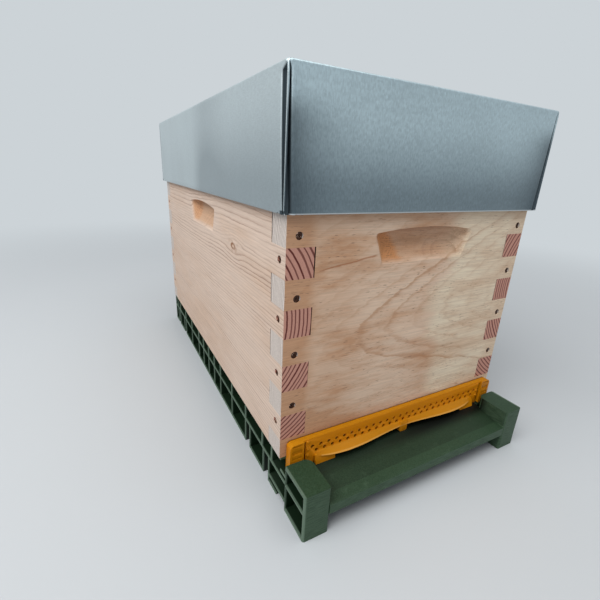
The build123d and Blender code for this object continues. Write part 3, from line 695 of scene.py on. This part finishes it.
for board, side, face, wood in (
        ("left_board", -1.0, box_low.x,
         {"Pith Across": 0.385, "Pith Through": -0.294, "Ring": 0.0031, "Drift": 0.015,
          "Knot Along": -0.105, "Knot Across": 0.2227, "Knot Radius": 0.0026}),
        ("right_board", 1.0, box_high.x,
         {"Pith Across": 0.020, "Pith Through": 0.270, "Ring": 0.0032, "Drift": 0.016,
          "Knot Along": 0.12, "Knot Across": 0.15, "Knot Radius": 0.0042})):
    ends = ({**side_end, "Pith Through": side * side_end_pith}, *side_rings)
    hold = {**side_hold, "face": face, "inward": -side, "burnt end": -side}
    board_woods[board] = pine_material(
        board + "_pine", side_axes, {**wood, "Band": 0.5}, side_tones,
        line=0.86, flecks=0.15, ends=ends, hold=hold)
board_woods["front_board"] = pine_material(
    "front_board_pine", front_axes,
    {"Pith Across": 0.168, "Pith Through": -0.2618, "Lean": 0.13, "Taper": 0.324, "Ring": 0.0110,
     "First Ring": 0.74, "Season": 0.3, "Drift": 0.014, "Ragged": 0.6, "Bold Ring": 5.4,
     "Bold Reach": 0.85},
    front_tones, line=0.85, flecks=0.75, ends=front_ends,
    hold={**front_hold, "face": box_low.y, "inward": 1.0, "burnt end": -1.0},
    sap=(0.026, 0.050), streak=(-0.0590, 0.2330, 0.140, -0.118))
board_woods["back_board"] = pine_material(
    "back_board_pine", front_axes,
    {"Pith Across": 0.220, "Pith Through": 0.315, "Lean": -0.10, "Taper": -0.28, "Ring": 0.0085,
     "Drift": 0.018, "Knot Along": -0.05, "Knot Across": 0.29, "Knot Radius": 0.005},
    front_tones, line=0.7, flecks=0.5, ends=front_ends,
    hold={**front_hold, "face": box_high.y, "inward": -1.0, "burnt end": 1.0})

# Screw places: one in every finger, near its middle, with the way that the head faces
finger = 0.025
lowest_finger = 0.020
side_fingers = 6
screw_inset = 0.011
end_screw_drop = 0.0035
side_screw_lift = 0.0018
finger_levels = [box_low.z + lowest_finger + finger * (2 * i + 0.5) for i in range(side_fingers)]
finger_lows = [box_low.z, *[z + finger / 2 for z in finger_levels]]
finger_tops = [*[z - finger / 2 for z in finger_levels], box_high.z]
front_levels = [(low + top) / 2 - end_screw_drop for low, top in zip(finger_lows, finger_tops)]
side_levels = [z + side_screw_lift for z in finger_levels]
screw_spots = []
screw_ways = []
for sx, face_x in ((-1, box_low.x), (1, box_high.x)):
    for sy, face_y in ((-1, box_low.y), (1, box_high.y)):
        screw_spots += [(face_x - sx * screw_inset, face_y, z) for z in front_levels]
        screw_ways += [(0, sy, 0)] * len(front_levels)
        screw_spots += [(face_x, face_y - sy * screw_inset, z) for z in side_levels]
        screw_ways += [(sx, 0, 0)] * len(side_levels)
screw_places = places_mesh("screw_places", screw_spots, screw_ways)
screw_guide = linked("screw_guide", screw_places)


def turned_to_way(tree, **turns):
    """The turn that brings a shape's own z to a point's stored way, after another turn."""
    stored = shape_node(tree, "InputNamedAttribute", {"Name": "way"}, data_type="FLOAT_VECTOR")
    return add_node(tree, "FunctionNodeAlignRotationToVector", {"Vector": stored, **turns}, axis="Z")


def lowered(shape, drop):
    """A shape moved down its own z."""
    fall = add_node(shape.tree, "CombineXYZ", {2: drop * -1.0})
    return shape_node(shape.tree, "Transform", {"Geometry": shape, "Translation": fall})


def tapered(tree, top, bottom, depth, drop, **settings):
    """A round stretch of given radii and depth, with its foot hung a drop below the level of a point."""
    stretch = shape_node(tree, "MeshCone", {
        "Vertices": 20, "Radius Top": top, "Radius Bottom": bottom, "Depth": depth}, **settings)
    return lowered(stretch, drop)


seat_tree, seat_in, seat_out = new_shape_tree("screw_seats", {
    "Places": "Object", "Mouth Radius": 0.0033, "Foot Radius": 0.0031, "Depth": 0.0020, "Clear": 0.0004,
    "Material": "Material"})
guide = shape_node(seat_tree, "ObjectInfo", {"Object": seat_in["Places"]}, "Geometry",
                   transform_space="RELATIVE")
seat_cut = tapered(seat_tree, seat_in["Mouth Radius"], seat_in["Foot Radius"],
                   seat_in["Depth"] + seat_in["Clear"], seat_in["Depth"])
seats = set_on(guide, seat_cut, Rotation=turned_to_way(seat_tree))
drilled = shape_node(seat_tree, "MeshBoolean", {"Mesh 1": seat_in["Geometry"], "Mesh 2": seats},
                     operation="DIFFERENCE", solver="EXACT")
put_out(drilled, seat_in, seat_out)

# The dry boards have shrunk: the joints stand open a little, more towards the top
joint_gap_low = 0.00010
joint_gap_high = 0.00115
gap_start = 0.120
gap_full = 0.250
plane_slack = 1e-5
board_edge = 0.0004
for board, wood in board_woods.items():
    blank = welded_copy(board)
    if board in ("left_board", "right_board"):
        axis, middle, half = Y, box_middle_y, inside_half_y
    else:
        axis, middle, half = X, 0.0, inside_half_x
    for vert in blank.vertices:
        shrunk = min(max((vert.co.z - gap_start) / (gap_full - gap_start), 0.0), 1.0)
        aside = vert.co[axis] - middle
        if abs(abs(aside) - half) < plane_slack:
            vert.co[axis] -= math.copysign(joint_gap_low + (joint_gap_high - joint_gap_low) * shrunk, aside)
    mesh = grown(eased(blank, board_edge), seat_tree, {"Places": screw_guide, "Material": wood})
    piece = finished(board + "_planed", mesh, wood, "box", "board_pine", board, sharp=20.0)
    for face in piece.data.polygons:
        face.use_smooth = max(map(abs, face.normal)) < 0.9999
bpy.data.objects.remove(screw_guide)


# Corner screws: countersunk, bronze-passivated steel with a cross recess, driven through every finger.
# Each head is pulled a little below the face of the wood, and no two crosses end up turned alike.
bronze_dark = (0.010, 0.003, 0.002)
bronze_warm = (0.120, 0.040, 0.016)
bronze_glint = (0.720, 0.480, 0.350)
screw_bronze, place, skin = new_skin_material("screw_bronze", 1500.0)
# Painted glints: small bright spots on the screw heads
glint = noise(place["Object"], 430.0, 1.0).step(0.60, 0.68)
colour = glint.mix(skin["Grain"].mix(bronze_dark, bronze_warm), bronze_glint)
finish_material(screw_bronze, colour, skin["Grain"].spread(0.36, 0.56), metallic=0.4)

screw_tree, screw_in, screw_out = new_shape_tree("corner_screws", {
    "Head Radius": 0.003, "Sunk": 0.0014, "Cone": 0.0022, "Shank Radius": 0.0016, "Tip Radius": 0.0002,
    "Length": 0.043, "Cross Reach": 0.0019, "Cross Waist": 0.0007, "Cross Depth": 0.0014,
    "Material": "Material"})
head_rim = shape_node(screw_tree, "CurvePrimitiveCircle", {
    "Resolution": 20, "Radius": screw_in["Head Radius"]})
cross = shape_node(screw_tree, "CurveStar", {
    "Points": 4, "Inner Radius": screw_in["Cross Waist"], "Outer Radius": screw_in["Cross Reach"]})
face_lines = shape_node(screw_tree, "JoinGeometry", {0: [head_rim, cross]})
head_face = shape_node(screw_tree, "FillCurve", {"Curve": face_lines})
recess_face = shape_node(screw_tree, "FillCurve", {"Curve": cross}, mode="NGONS")
recess = shape_node(screw_tree, "ExtrudeMesh", {
    "Mesh": recess_face, "Individual": False, "Offset Scale": screw_in["Cross Depth"] * -1.0})
cone = tapered(screw_tree, screw_in["Head Radius"], screw_in["Shank Radius"], screw_in["Cone"],
               screw_in["Cone"], fill_type="NONE")
shank = tapered(screw_tree, screw_in["Shank Radius"], screw_in["Tip Radius"], screw_in["Length"],
                screw_in["Length"] + screw_in["Cone"], fill_type="NONE")
screw = shape_node(screw_tree, "JoinGeometry", {0: [head_face, recess, cone, shank]})
screw = shape_node(screw_tree, "MergeByDistance", {"Geometry": screw, "Distance": weld_gap})
chance = add_node(screw_tree, "FunctionNodeRandomValue", {"Seed": 5, 3: math.pi / 2}, 1, data_type="FLOAT")
spin = add_node(screw_tree, "FunctionNodeAxisAngleToRotation", {"Axis": (0, 0, 1), "Angle": chance})
screws = set_on(screw_in["Geometry"], lowered(screw, screw_in["Sunk"]),
                Rotation=turned_to_way(screw_tree, Rotation=spin))
put_out(screws, screw_in, screw_out)
mesh = grown(screw_places, screw_tree, {"Material": screw_bronze})
finished("corner_screws", mesh, screw_bronze, "box", "screw_steel",
         *[f"{end}_{side}_screws" for end in ("front", "back") for side in ("left", "right")])


# Frame runners: strips of galvanised sheet, each with a hemmed edge that carries the frames.
# They are nailed inside the end boards with round steel nails.
zinc_group, zinc_in, zinc_out = new_tree("Shader", "zinc_skin", {"Sheet": "Vector"}, ["Shade", "Crystal"])
sheet = zinc_in["Sheet"]
spangle = add_node(zinc_group, "TexVoronoi", {"Vector": sheet, "Scale": 520.0}, "Color")
zinc_shade = (noise(sheet, (1200.0, 240.0, 1200.0)) * 0.46 + noise(sheet, 9.0, 3.0) * 0.26
              + add_node(zinc_group, "SeparateColor", {0: spangle}) * 0.10
              + noise(sheet, (2.0, 21.0, 2.0)) * 0.18)
feed(zinc_out, {"Shade": zinc_shade, "Crystal": zinc_shade.step(0.32, 0.68)})


def finish_zinc(material, zinc, colour):
    """Galvanised sheet: streaks along the rolling direction over faint crystals."""
    finish_material(material, colour, zinc["Shade"].spread(0.34, 0.56), (zinc["Shade"], 0.00005, 0.35),
                    metallic=0.85)


def dress_node(node, material):
    """A CAD node kept as it is, with a better material."""
    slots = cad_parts[node].data.materials
    slots.clear()
    slots.append(material)


runner_dark = (0.36, 0.40, 0.43)
runner_pale = (0.56, 0.60, 0.63)
runner_edge = 0.0003
nail_dark = (0.25, 0.25, 0.25)
nail_pale = (0.55, 0.55, 0.54)
runner_zinc, place = new_material("runner_zinc")
zinc = place_group(zinc_group, {"Sheet": place["Object"]})
finish_zinc(runner_zinc, zinc, zinc["Crystal"].mix(runner_dark, runner_pale))
nail_steel, place, skin = new_skin_material("nail_steel", 1500.0)
finish_material(nail_steel, skin["Grain"].mix(nail_dark, nail_pale), skin["Scuff"].spread(0.25, 0.50),
                metallic=0.9)
for end in ("front", "back"):
    mesh = eased(welded_copy(f"{end}_frame_runner"), runner_edge)
    finished(f"{end}_runner_strip", mesh, runner_zinc, "box", "galvanised", f"{end}_frame_runner")
    dress_node(f"{end}_runner_nails", nail_steel)


# Frames: planed strips of pine nailed into a hanging frame, with level wires strung between the end bars.
# Two nails go down through the top bar into each end bar, and two through its foot into the bottom bar.
frame_tones = {"face": (0.600, 0.445, 0.290), "stain": (0.560, 0.385, 0.230), "late": (0.460, 0.285, 0.150),
               "end": (0.460, 0.300, 0.180), "end late": (0.250, 0.130, 0.065), "foot": 0.06}
wire_dark = (0.42, 0.42, 0.42)
wire_pale = (0.68, 0.68, 0.67)
long_bar_wood = pine_material(
    "long_bar_wood", (Y, X, Z), {"Pith Across": 0.31, "Pith Through": 0.11, "Ring": 0.0031, "Drift": 0.02},
    frame_tones)
end_bar_wood = pine_material(
    "end_bar_wood", (Z, X, Y), {"Pith Across": -0.27, "Pith Through": 0.05, "Ring": 0.0033, "Drift": 0.02},
    frame_tones)
frame_wire, place, skin = new_skin_material("frame_wire", 3000.0)
finish_material(frame_wire, skin["Grain"].mix(wire_dark, wire_pale), skin["Grain"].spread(0.2, 0.4),
                metallic=1.0)

nail_tree, nail_in, nail_out = new_shape_tree("frame_nails", {
    "Head Radius": 0.0013, "Crown Radius": 0.00104, "Head": 0.0005, "Material": "Material"})
nail_head = shape_node(nail_tree, "MeshCone", {
    "Vertices": 12, "Radius Top": nail_in["Crown Radius"], "Radius Bottom": nail_in["Head Radius"],
    "Depth": nail_in["Head"]})
nail_heads = set_on(nail_in["Geometry"], nail_head, Rotation=turned_to_way(nail_tree))
put_out(nail_heads, nail_in, nail_out)
bar_edge = 0.0007
nail_sunk = 0.0002
nail_pair = 0.006
frame_bodies = [node.removesuffix("_top_bar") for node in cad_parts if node.endswith("_top_bar")]
for body in sorted(frame_bodies):
    for bar, wood in (("top_bar", long_bar_wood), ("bottom_bar", long_bar_wood),
                      ("front_end_bar", end_bar_wood), ("back_end_bar", end_bar_wood)):
        mesh = eased(welded_copy(f"{body}_{bar}"), bar_edge)
        finished(f"{body}_{bar}_planed", mesh, wood, body, "frame_wood", f"{body}_{bar}")
    dress_node(f"{body}_wires", frame_wire)
    top_low, top_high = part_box(f"{body}_top_bar")
    bottom_low, bottom_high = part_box(f"{body}_bottom_bar")
    middle_x = (top_low.x + top_high.x) / 2
    top_z = top_high.z - nail_sunk
    bottom_z = (bottom_low.z + bottom_high.z) / 2
    spots = []
    ways = []
    for end, outward in (("front", -1), ("back", 1)):
        bar_low, bar_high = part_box(f"{body}_{end}_end_bar")
        bar_y = (bar_low.y + bar_high.y) / 2
        outer_y = bar_y + outward * ((bar_high.y - bar_low.y) / 2 - nail_sunk)
        for nail_x in (middle_x - nail_pair, middle_x + nail_pair):
            spots += [(nail_x, bar_y, top_z), (nail_x, outer_y, bottom_z)]
            ways += [(0, 0, 1), (0, outward, 0)]
    mesh = grown(places_mesh(f"{body}_nail_places", spots, ways), nail_tree, {"Material": nail_steel})
    finished(f"{body}_nails", mesh, nail_steel, body, "nail_steel")


# Cover: a sanded sheet of five-ply, cut to the box and lying loose on it.
# Its edge shows the plies, every other one cut across its grain.
cover_low, cover_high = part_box("inner_cover")
cover_edge = 0.0006
ply_count = 5
ply_along = (0.52, 0.36, 0.21)
ply_across = (0.30, 0.18, 0.10)
veneer_pale = (0.56, 0.41, 0.27)
veneer_late = (0.43, 0.27, 0.15)
cover_plywood, place = new_material("cover_plywood")
spot = parts_of(place["Object"])
veneer = place_group(pine_group, {"Along": spot[Y], "Across": spot[X], "Through": spot[Z],
                                  "Pith Across": 0.04, "Pith Through": 0.30, "Ring": 0.0013, "Drift": 0.06})
ply = (spot[Z] - cover_low.z) * (ply_count / 2 / (cover_high.z - cover_low.z))
edge = ply.sum("PINGPONG", 0.5).step(0.22, 0.28).mix(ply_along, ply_across)
face = (veneer["Late Wood"] * 0.4).mix(veneer_pale, veneer_late)
colour = abs(parts_of(place["Normal"])[Z]).step(0.5, 0.8).mix(edge, face)
finish_material(cover_plywood, colour, veneer["Fibre"].spread(0.55, 0.75), (veneer["Fibre"], 0.0001, 0.4))
mesh = eased(welded_copy("inner_cover"), cover_edge)
finished("cover_sheet", mesh, cover_plywood, "cover", "plywood", "inner_cover")


# Roof: one galvanised steel sheet folded into a tray, its skirts hemmed inwards.
# At each corner the spare metal is pleated: two clefts, with the pleat's own fold standing between them.
# Where the pleat ends, the edge has no hem and hangs down to the hem's level.
roof_low, roof_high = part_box("roof_sheet")
roof_middle = (roof_low + roof_high) / 2
roof_half = (roof_high - roof_low) / 2
sheet_thickness = 0.0007
skin_inset = 0.0004
top_bend = 0.002
hem_height = 0.008
hem_bend = 0.0013
corner_drop = 0.0011
hem_start_side = 0.0065
hem_start_end = 0.0006
plain_corner = 0.004
cleft_opening = 0.0032
bend_rows = 5
skirt_rows = 20
hem_rows = 8
side_columns = 26
top_shares = (0.96, 0.82, 0.62, 0.40, 0.18)
end_bow = 0.00035
side_bow = 0.0003
top_bow = 0.0006


def arc(centre, radius, first, last, steps):
    """Points on an arc, angles in degrees."""
    turns = [math.radians(first + (last - first) * i / steps) for i in range(steps + 1)]
    return [(centre[0] + radius * math.cos(turn), centre[1] + radius * math.sin(turn)) for turn in turns]


def corner_outline(fall, opened):
    """A skirt corner at the origin, walked from the long side to the short one.

    Points are distances in from the two faces. Fall runs from 0 at the top to 1 at the hem: the pleat
    leans, so its clefts change width on the way down. Opened is 0 where the corner is still plain.
    """
    side_lip = 0.0086 - 0.0044 * fall * fall
    end_lip = 0.0034 + 0.0020 * fall
    side_round = 0.0010
    end_round = 0.0020 + 0.0025 * fall * fall
    fold_round = 0.0011
    fold = (0.0017 - 0.0005 * fall, 0.0014)
    valley = 0.0046
    valley_slant = 0.0003
    side_valley = (0.0009, -0.0001)
    end_valley = (0.0004, 0.0013)
    side_middle = (side_lip + fold[1]) / 2
    end_middle = (end_lip + fold[0]) / 2
    pleated = [
        *arc((side_round, side_lip + side_round), side_round, 180, 285, 5),
        (valley, side_middle + side_valley[0]), (valley - valley_slant, side_middle + side_valley[1]),
        *arc(fold, fold_round, 120, 330, 8),
        (end_middle + end_valley[0], valley - valley_slant), (end_middle + end_valley[1], valley),
        *arc((end_lip + end_round, end_round), end_round, 165, 270, 5)]
    plain = arc((plain_corner, plain_corner), plain_corner, 180, 270, len(pleated) - 1)
    return [(a + (c - a) * opened, b + (d - b) * opened) for (a, b), (c, d) in zip(plain, pleated)]


def roof_outline(inset, fall, opened):
    """The roof's outline from the front left corner round by the front.

    Each point has its place, whether its skirt runs along x, and whether it is on a straight stretch.
    """
    corner = corner_outline(fall, opened)
    loops = []
    for number, (sx, sy) in enumerate([(-1, -1), (1, -1), (1, 1), (-1, 1)]):
        walk = corner if number % 2 == 0 else corner[::-1]
        loops.append([(sx * (roof_half.x - inset - a), sy * (roof_half.y - inset - b)) for a, b in walk])
    points = []
    for number, loop in enumerate(loops):
        along_x = number % 2 == 0
        for i, (x, y) in enumerate(loop):
            points.append((x, y, along_x == (i >= len(loop) / 2), False))
        start = Vector(loop[-1])
        end = Vector(loops[(number + 1) % 4][0])
        margin = (hem_start_end if along_x else hem_start_side) / (end - start).length
        for i in range(side_columns + 1):
            points.append((*start.lerp(end, margin + (1 - 2 * margin) * i / side_columns), along_x, True))
    return points


def bow(x, y, z):
    """How far a skirt leaves its plane, in slow waves, as thin sheet does."""
    return end_bow * math.sin(9.0 * x + 4.0) * math.sin(31.0 * z + 1.0) + side_bow * math.sin(8.0 * y + 1.3)


# Rows of the skirt from the top bend down to the hem's inner edge: inset, level, fall and opening
skirt_top = roof_high.z - top_bend
roll_top = roof_low.z + hem_bend
bend = arc((top_bend, skirt_top), top_bend, 90, 180, bend_rows)
roll = arc((hem_bend, roll_top), hem_bend, 180, 360, hem_rows)
rows = [(inset, z, 0.0, 0.0) for inset, z in bend[:-1]]
for i in range(skirt_rows + 1):
    share = (i / skirt_rows) ** 1.4
    z = skirt_top + (roll_top - skirt_top) * share
    opened = min(1.0, (skirt_top - z) / cleft_opening)
    rows.append((0.0, z, share, opened * opened * (3 - 2 * opened)))
plain_rows = len(rows)
rows += [(inset, z, 1.0, 1.0) for inset, z in roll[1:]]
rows.append((2 * hem_bend, roof_low.z + hem_height, 1.0, 1.0))

tray = bmesh.new()
sheet_layer = tray.loops.layers.uv.new("sheet")
sheet_place = {}
grid = []
for row, (inset, z, fall, opened) in enumerate(rows):
    line = []
    for x, y, along_x, straight in roof_outline(inset, fall, opened):
        wave = bow(x, y, z) if straight and bend_rows <= row < plain_rows else 0.0
        way = Vector((0.0, math.copysign(1.0, y), 0.0) if along_x else (math.copysign(1.0, x), 0.0, 0.0))
        dropped = 0.0 if straight or row < plain_rows - 1 else corner_drop
        spot = Vector((x + roof_middle.x, y + roof_middle.y, z - dropped)) - way * (skin_inset - wave)
        vert = tray.verts.new(spot)
        drop = roof_high.z - z + inset
        if along_x:
            sheet_place[vert] = (x, math.copysign(roof_half.y + drop, y))
        else:
            sheet_place[vert] = (math.copysign(roof_half.x + drop, x), y)
        line.append((vert, straight))
    grid.append(line)
columns = len(grid[0])
for row in range(len(grid) - 1):
    for i in range(columns):
        j = (i + 1) % columns
        if row + 1 < plain_rows or (grid[row][i][1] and grid[row][j][1]):
            tray.faces.new([grid[row][i][0], grid[row + 1][i][0], grid[row + 1][j][0], grid[row][j][0]])

# The top is closed by rings that shrink towards its middle, with one point at each corner
ring = [vert for vert, _ in grid[0]]
for share in top_shares:
    inner = []
    for i, (vert, straight) in enumerate(grid[0]):
        if i and not straight and not grid[0][i - 1][1]:
            inner.append(inner[-1])
            continue
        x, y = [middle + (place - middle) * share for place, middle in zip(vert.co.xy, roof_middle.xy)]
        lift = top_bow * (1 - share) * math.sin(11.0 * x + 2.0) * math.sin(9.0 * y)
        inner.append(tray.verts.new((x, y, roof_high.z - skin_inset + lift)))
        sheet_place[inner[-1]] = (x - roof_middle.x, y - roof_middle.y)
    for i in range(columns):
        j = (i + 1) % columns
        corners = list(dict.fromkeys([inner[i], ring[i], ring[j], inner[j]]))
        if len(corners) > 2:
            tray.faces.new(corners)
    ring = inner
tray.faces.new(list(dict.fromkeys(ring)))
bmesh.ops.delete(tray, geom=[vert for vert in tray.verts if not vert.link_faces], context="VERTS")
for face in tray.faces:
    for loop in face.loops:
        loop[sheet_layer].uv = sheet_place[loop.vert]
bmesh.ops.recalc_face_normals(tray, faces=tray.faces)
mesh = applied(mesh_of(tray, "roof_tray"), "SOLIDIFY", thickness=sheet_thickness, offset=-1.0)

# Painted reflection: the sheet is darker low down, and painted shade darkens it most of all beside the
# bends.
# Its long skirts hold a faint painted dark band of reflection.
side_pale = (0.560, 0.625, 0.642)
side_reflection_dark = (0.348, 0.398, 0.418)
end_pale = (0.470, 0.572, 0.610)
end_reflection_dark = (0.208, 0.262, 0.290)
top_shade = (0.400, 0.455, 0.480)
corner_shade_grey = (0.046, 0.066, 0.080)
cleft_shade = (0.060, 0.078, 0.090)
hem_highlight = (0.74, 0.78, 0.80)
side_fall = (roof_high.z - 0.010, roof_low.z + 0.012)
end_fall = (roof_high.z - 0.022, roof_low.z + 0.010)
corner_shade_fall = (roof_high.z - 0.010, roof_high.z - 0.036)
corner_shade_reach = 0.070
reflection_half = (0.050, -0.040)
band_from = (-0.11, -0.03)
band_until = (0.035, -0.020)
cleft_from = (0.0009, 0.0018)
cleft_reach = 0.012
cleft_fall = (roof_high.z - 0.0015, roof_high.z - 0.0035)
drop_reach = 0.0068
drop_height = 0.0030
hem_highlight_line = (roof_low.z + 0.0014, roof_low.z + 0.0008)
roof_zinc, place = new_material("roof_zinc")
zinc = place_group(zinc_group, {"Sheet": place["UV"]})
spot = parts_of(place["Object"])
from_side = roof_half.x - abs(spot[X])
from_end = roof_half.y - abs(spot[Y] - roof_middle.y)
corner_gap = from_side.sum("MAXIMUM", from_end)
on_end = abs(parts_of(place["UV"])[Y]) > roof_half.y
# Painted reflection: a faint dark band and a fade from top to bottom on the long skirts
reflection_band = spot[Y].between(band_from, band_until) * 0.35
side_reflection = spot[Z].step(*side_fall) * spot[Y].step(*reflection_half).spread(0.25, 1.0)
side_reflection = side_reflection.sum("ADD", reflection_band, clamp=True)
# Painted shade: the short skirts darken towards the corners, below the top bend
beside_corner_shade = (1.0 - from_side / corner_shade_reach).sum("MAXIMUM", 0.0) ** 2.0 * spot[Z].step(*corner_shade_fall) * 0.85
# Painted reflection: the short skirts fade from pale at the top to dark low down
end_tone = painted(spot[Z].step(*end_fall).mix(end_pale, end_reflection_dark), (beside_corner_shade, corner_shade_grey))
# Painted shade: the top, which faces the lamps, gets a darker grey
upward = parts_of(place["Normal"])[Z].step(0.80, 0.97)
colour = painted(side_reflection.mix(side_pale, side_reflection_dark), (on_end, end_tone), (upward, top_shade))
colour = colour.shaded((zinc["Crystal"] - 0.5) * on_end.spread(0.16, 0.32) + 1.0)
# Painted shade: the clefts of the corner pleats and the raised corner edge at the bottom are painted dark
in_cleft = (from_side.sum("MINIMUM", from_end).step(*cleft_from) * (corner_gap < cleft_reach)
            * spot[Z].step(*cleft_fall))
in_drop = (corner_gap < drop_reach) * (spot[Z] < roof_low.z + drop_height)
# Painted highlight: a bright line along the bottom edge of the short skirts
colour = painted(colour, (in_cleft.sum("MAXIMUM", in_drop), cleft_shade),
                 (spot[Z].step(*hem_highlight_line) * on_end * 0.7, hem_highlight))
finish_zinc(roof_zinc, zinc, colour)
finished("roof_tray", mesh, roof_zinc, "roof", "galvanised", "roof_sheet", sharp=50.0)


# Studio: a pale paper floor that runs out into a pale surround, with soft light from the left and above.
# The camera stands near the front left corner, tipped a little down.
backdrop_colour = (0.605, 0.650, 0.680, 1.0)
surround_colour = (0.95, 0.97, 1.0, 1.0)
paper_colour = (0.500, 0.530, 0.556)
paper_shade = (0.482, 0.512, 0.538)
paper_reach = 8.0
runs_out = (0.45, 1.8)
floor_mesh = bpy.data.meshes.new("studio_floor")
paper_corners = [(x * paper_reach, y * paper_reach, 0) for x, y in ((-1, -1), (1, -1), (1, 1), (-1, 1))]
floor_mesh.from_pydata(paper_corners, [], [(0, 1, 2, 3)])
studio_floor = linked("studio_floor", floor_mesh)
floor_paper, place = new_material("floor_paper")
finish_material(floor_paper, noise(place["Object"], 3.0).mix(paper_colour, paper_shade), 0.8)
tree = floor_paper.node_tree
paper = Value(tree, tree.nodes["Principled BSDF"].outputs[0])
glow = add_node(tree, "Emission", {"Color": backdrop_colour, "Strength": 1.0})
far_off = add_node(tree, "VectorMath", {0: place["Object"]}, "Value", operation="LENGTH")
sweep = add_node(tree, "MixShader", {0: far_off.step(*runs_out), 1: paper, 2: glow})
feed(tree.nodes["Material Output"].inputs, {0: sweep})
floor_mesh.materials.append(floor_paper)

world = bpy.data.worlds.new("studio_surround")
bpy.context.scene.world = world
world.use_nodes = True
tree = world.node_tree
path = named(tree, tree.nodes.new("ShaderNodeLightPath").outputs)
seen = path["Is Camera Ray"].sum("MAXIMUM", path["Is Glossy Ray"])
seen = seen.sum("MAXIMUM", path["Is Transmission Ray"])
surround = add_node(tree, "Background", {"Color": surround_colour, "Strength": 0.42})
backdrop = add_node(tree, "Background", {"Color": backdrop_colour, "Strength": 1.0})
blend = add_node(tree, "MixShader", {0: seen, 1: surround, 2: backdrop})
feed(tree.nodes["World Output"].inputs, {0: blend})
lamp_aim = Vector((0, 0, 0.2))


def add_lamp(name, spot, size, power, colour):
    """A soft square lamp aimed at the hive."""
    lamp = bpy.data.lights.new(name, "AREA")
    lamp.size = size
    lamp.energy = power
    lamp.color = colour
    holder = linked(name, lamp)
    holder.location = spot
    holder.rotation_euler = (lamp_aim - Vector(spot)).to_track_quat("-Z", "Y").to_euler()


add_lamp("window_lamp", (-1.5, -0.45, 1.9), size=1.6, power=44.0, colour=(1.0, 0.99, 0.97))
add_lamp("ceiling_lamp", (0.2, -0.5, 2.4), size=2.0, power=22.0, colour=(1.0, 0.98, 0.95))

camera_spot = Vector((-0.263856, -0.469909, 0.301250))
camera_right = Vector((0.881294, -0.470564, 0.043474))
camera_up = Vector((0.122240, 0.315863, 0.940897))
camera_back = Vector((-0.456485, -0.823893, 0.335890))
lens = bpy.data.cameras.new("photo_camera")
lens.sensor_width = 36.0
lens.lens = 22.08
lens.clip_start = 0.01
camera = linked("photo_camera", lens)
turn = Matrix((camera_right, camera_up, camera_back)).transposed()
camera.matrix_world = Matrix.Translation(camera_spot) @ turn.to_4x4()
bpy.context.scene.camera = camera
bpy.context.scene.view_settings.view_transform = "Standard"
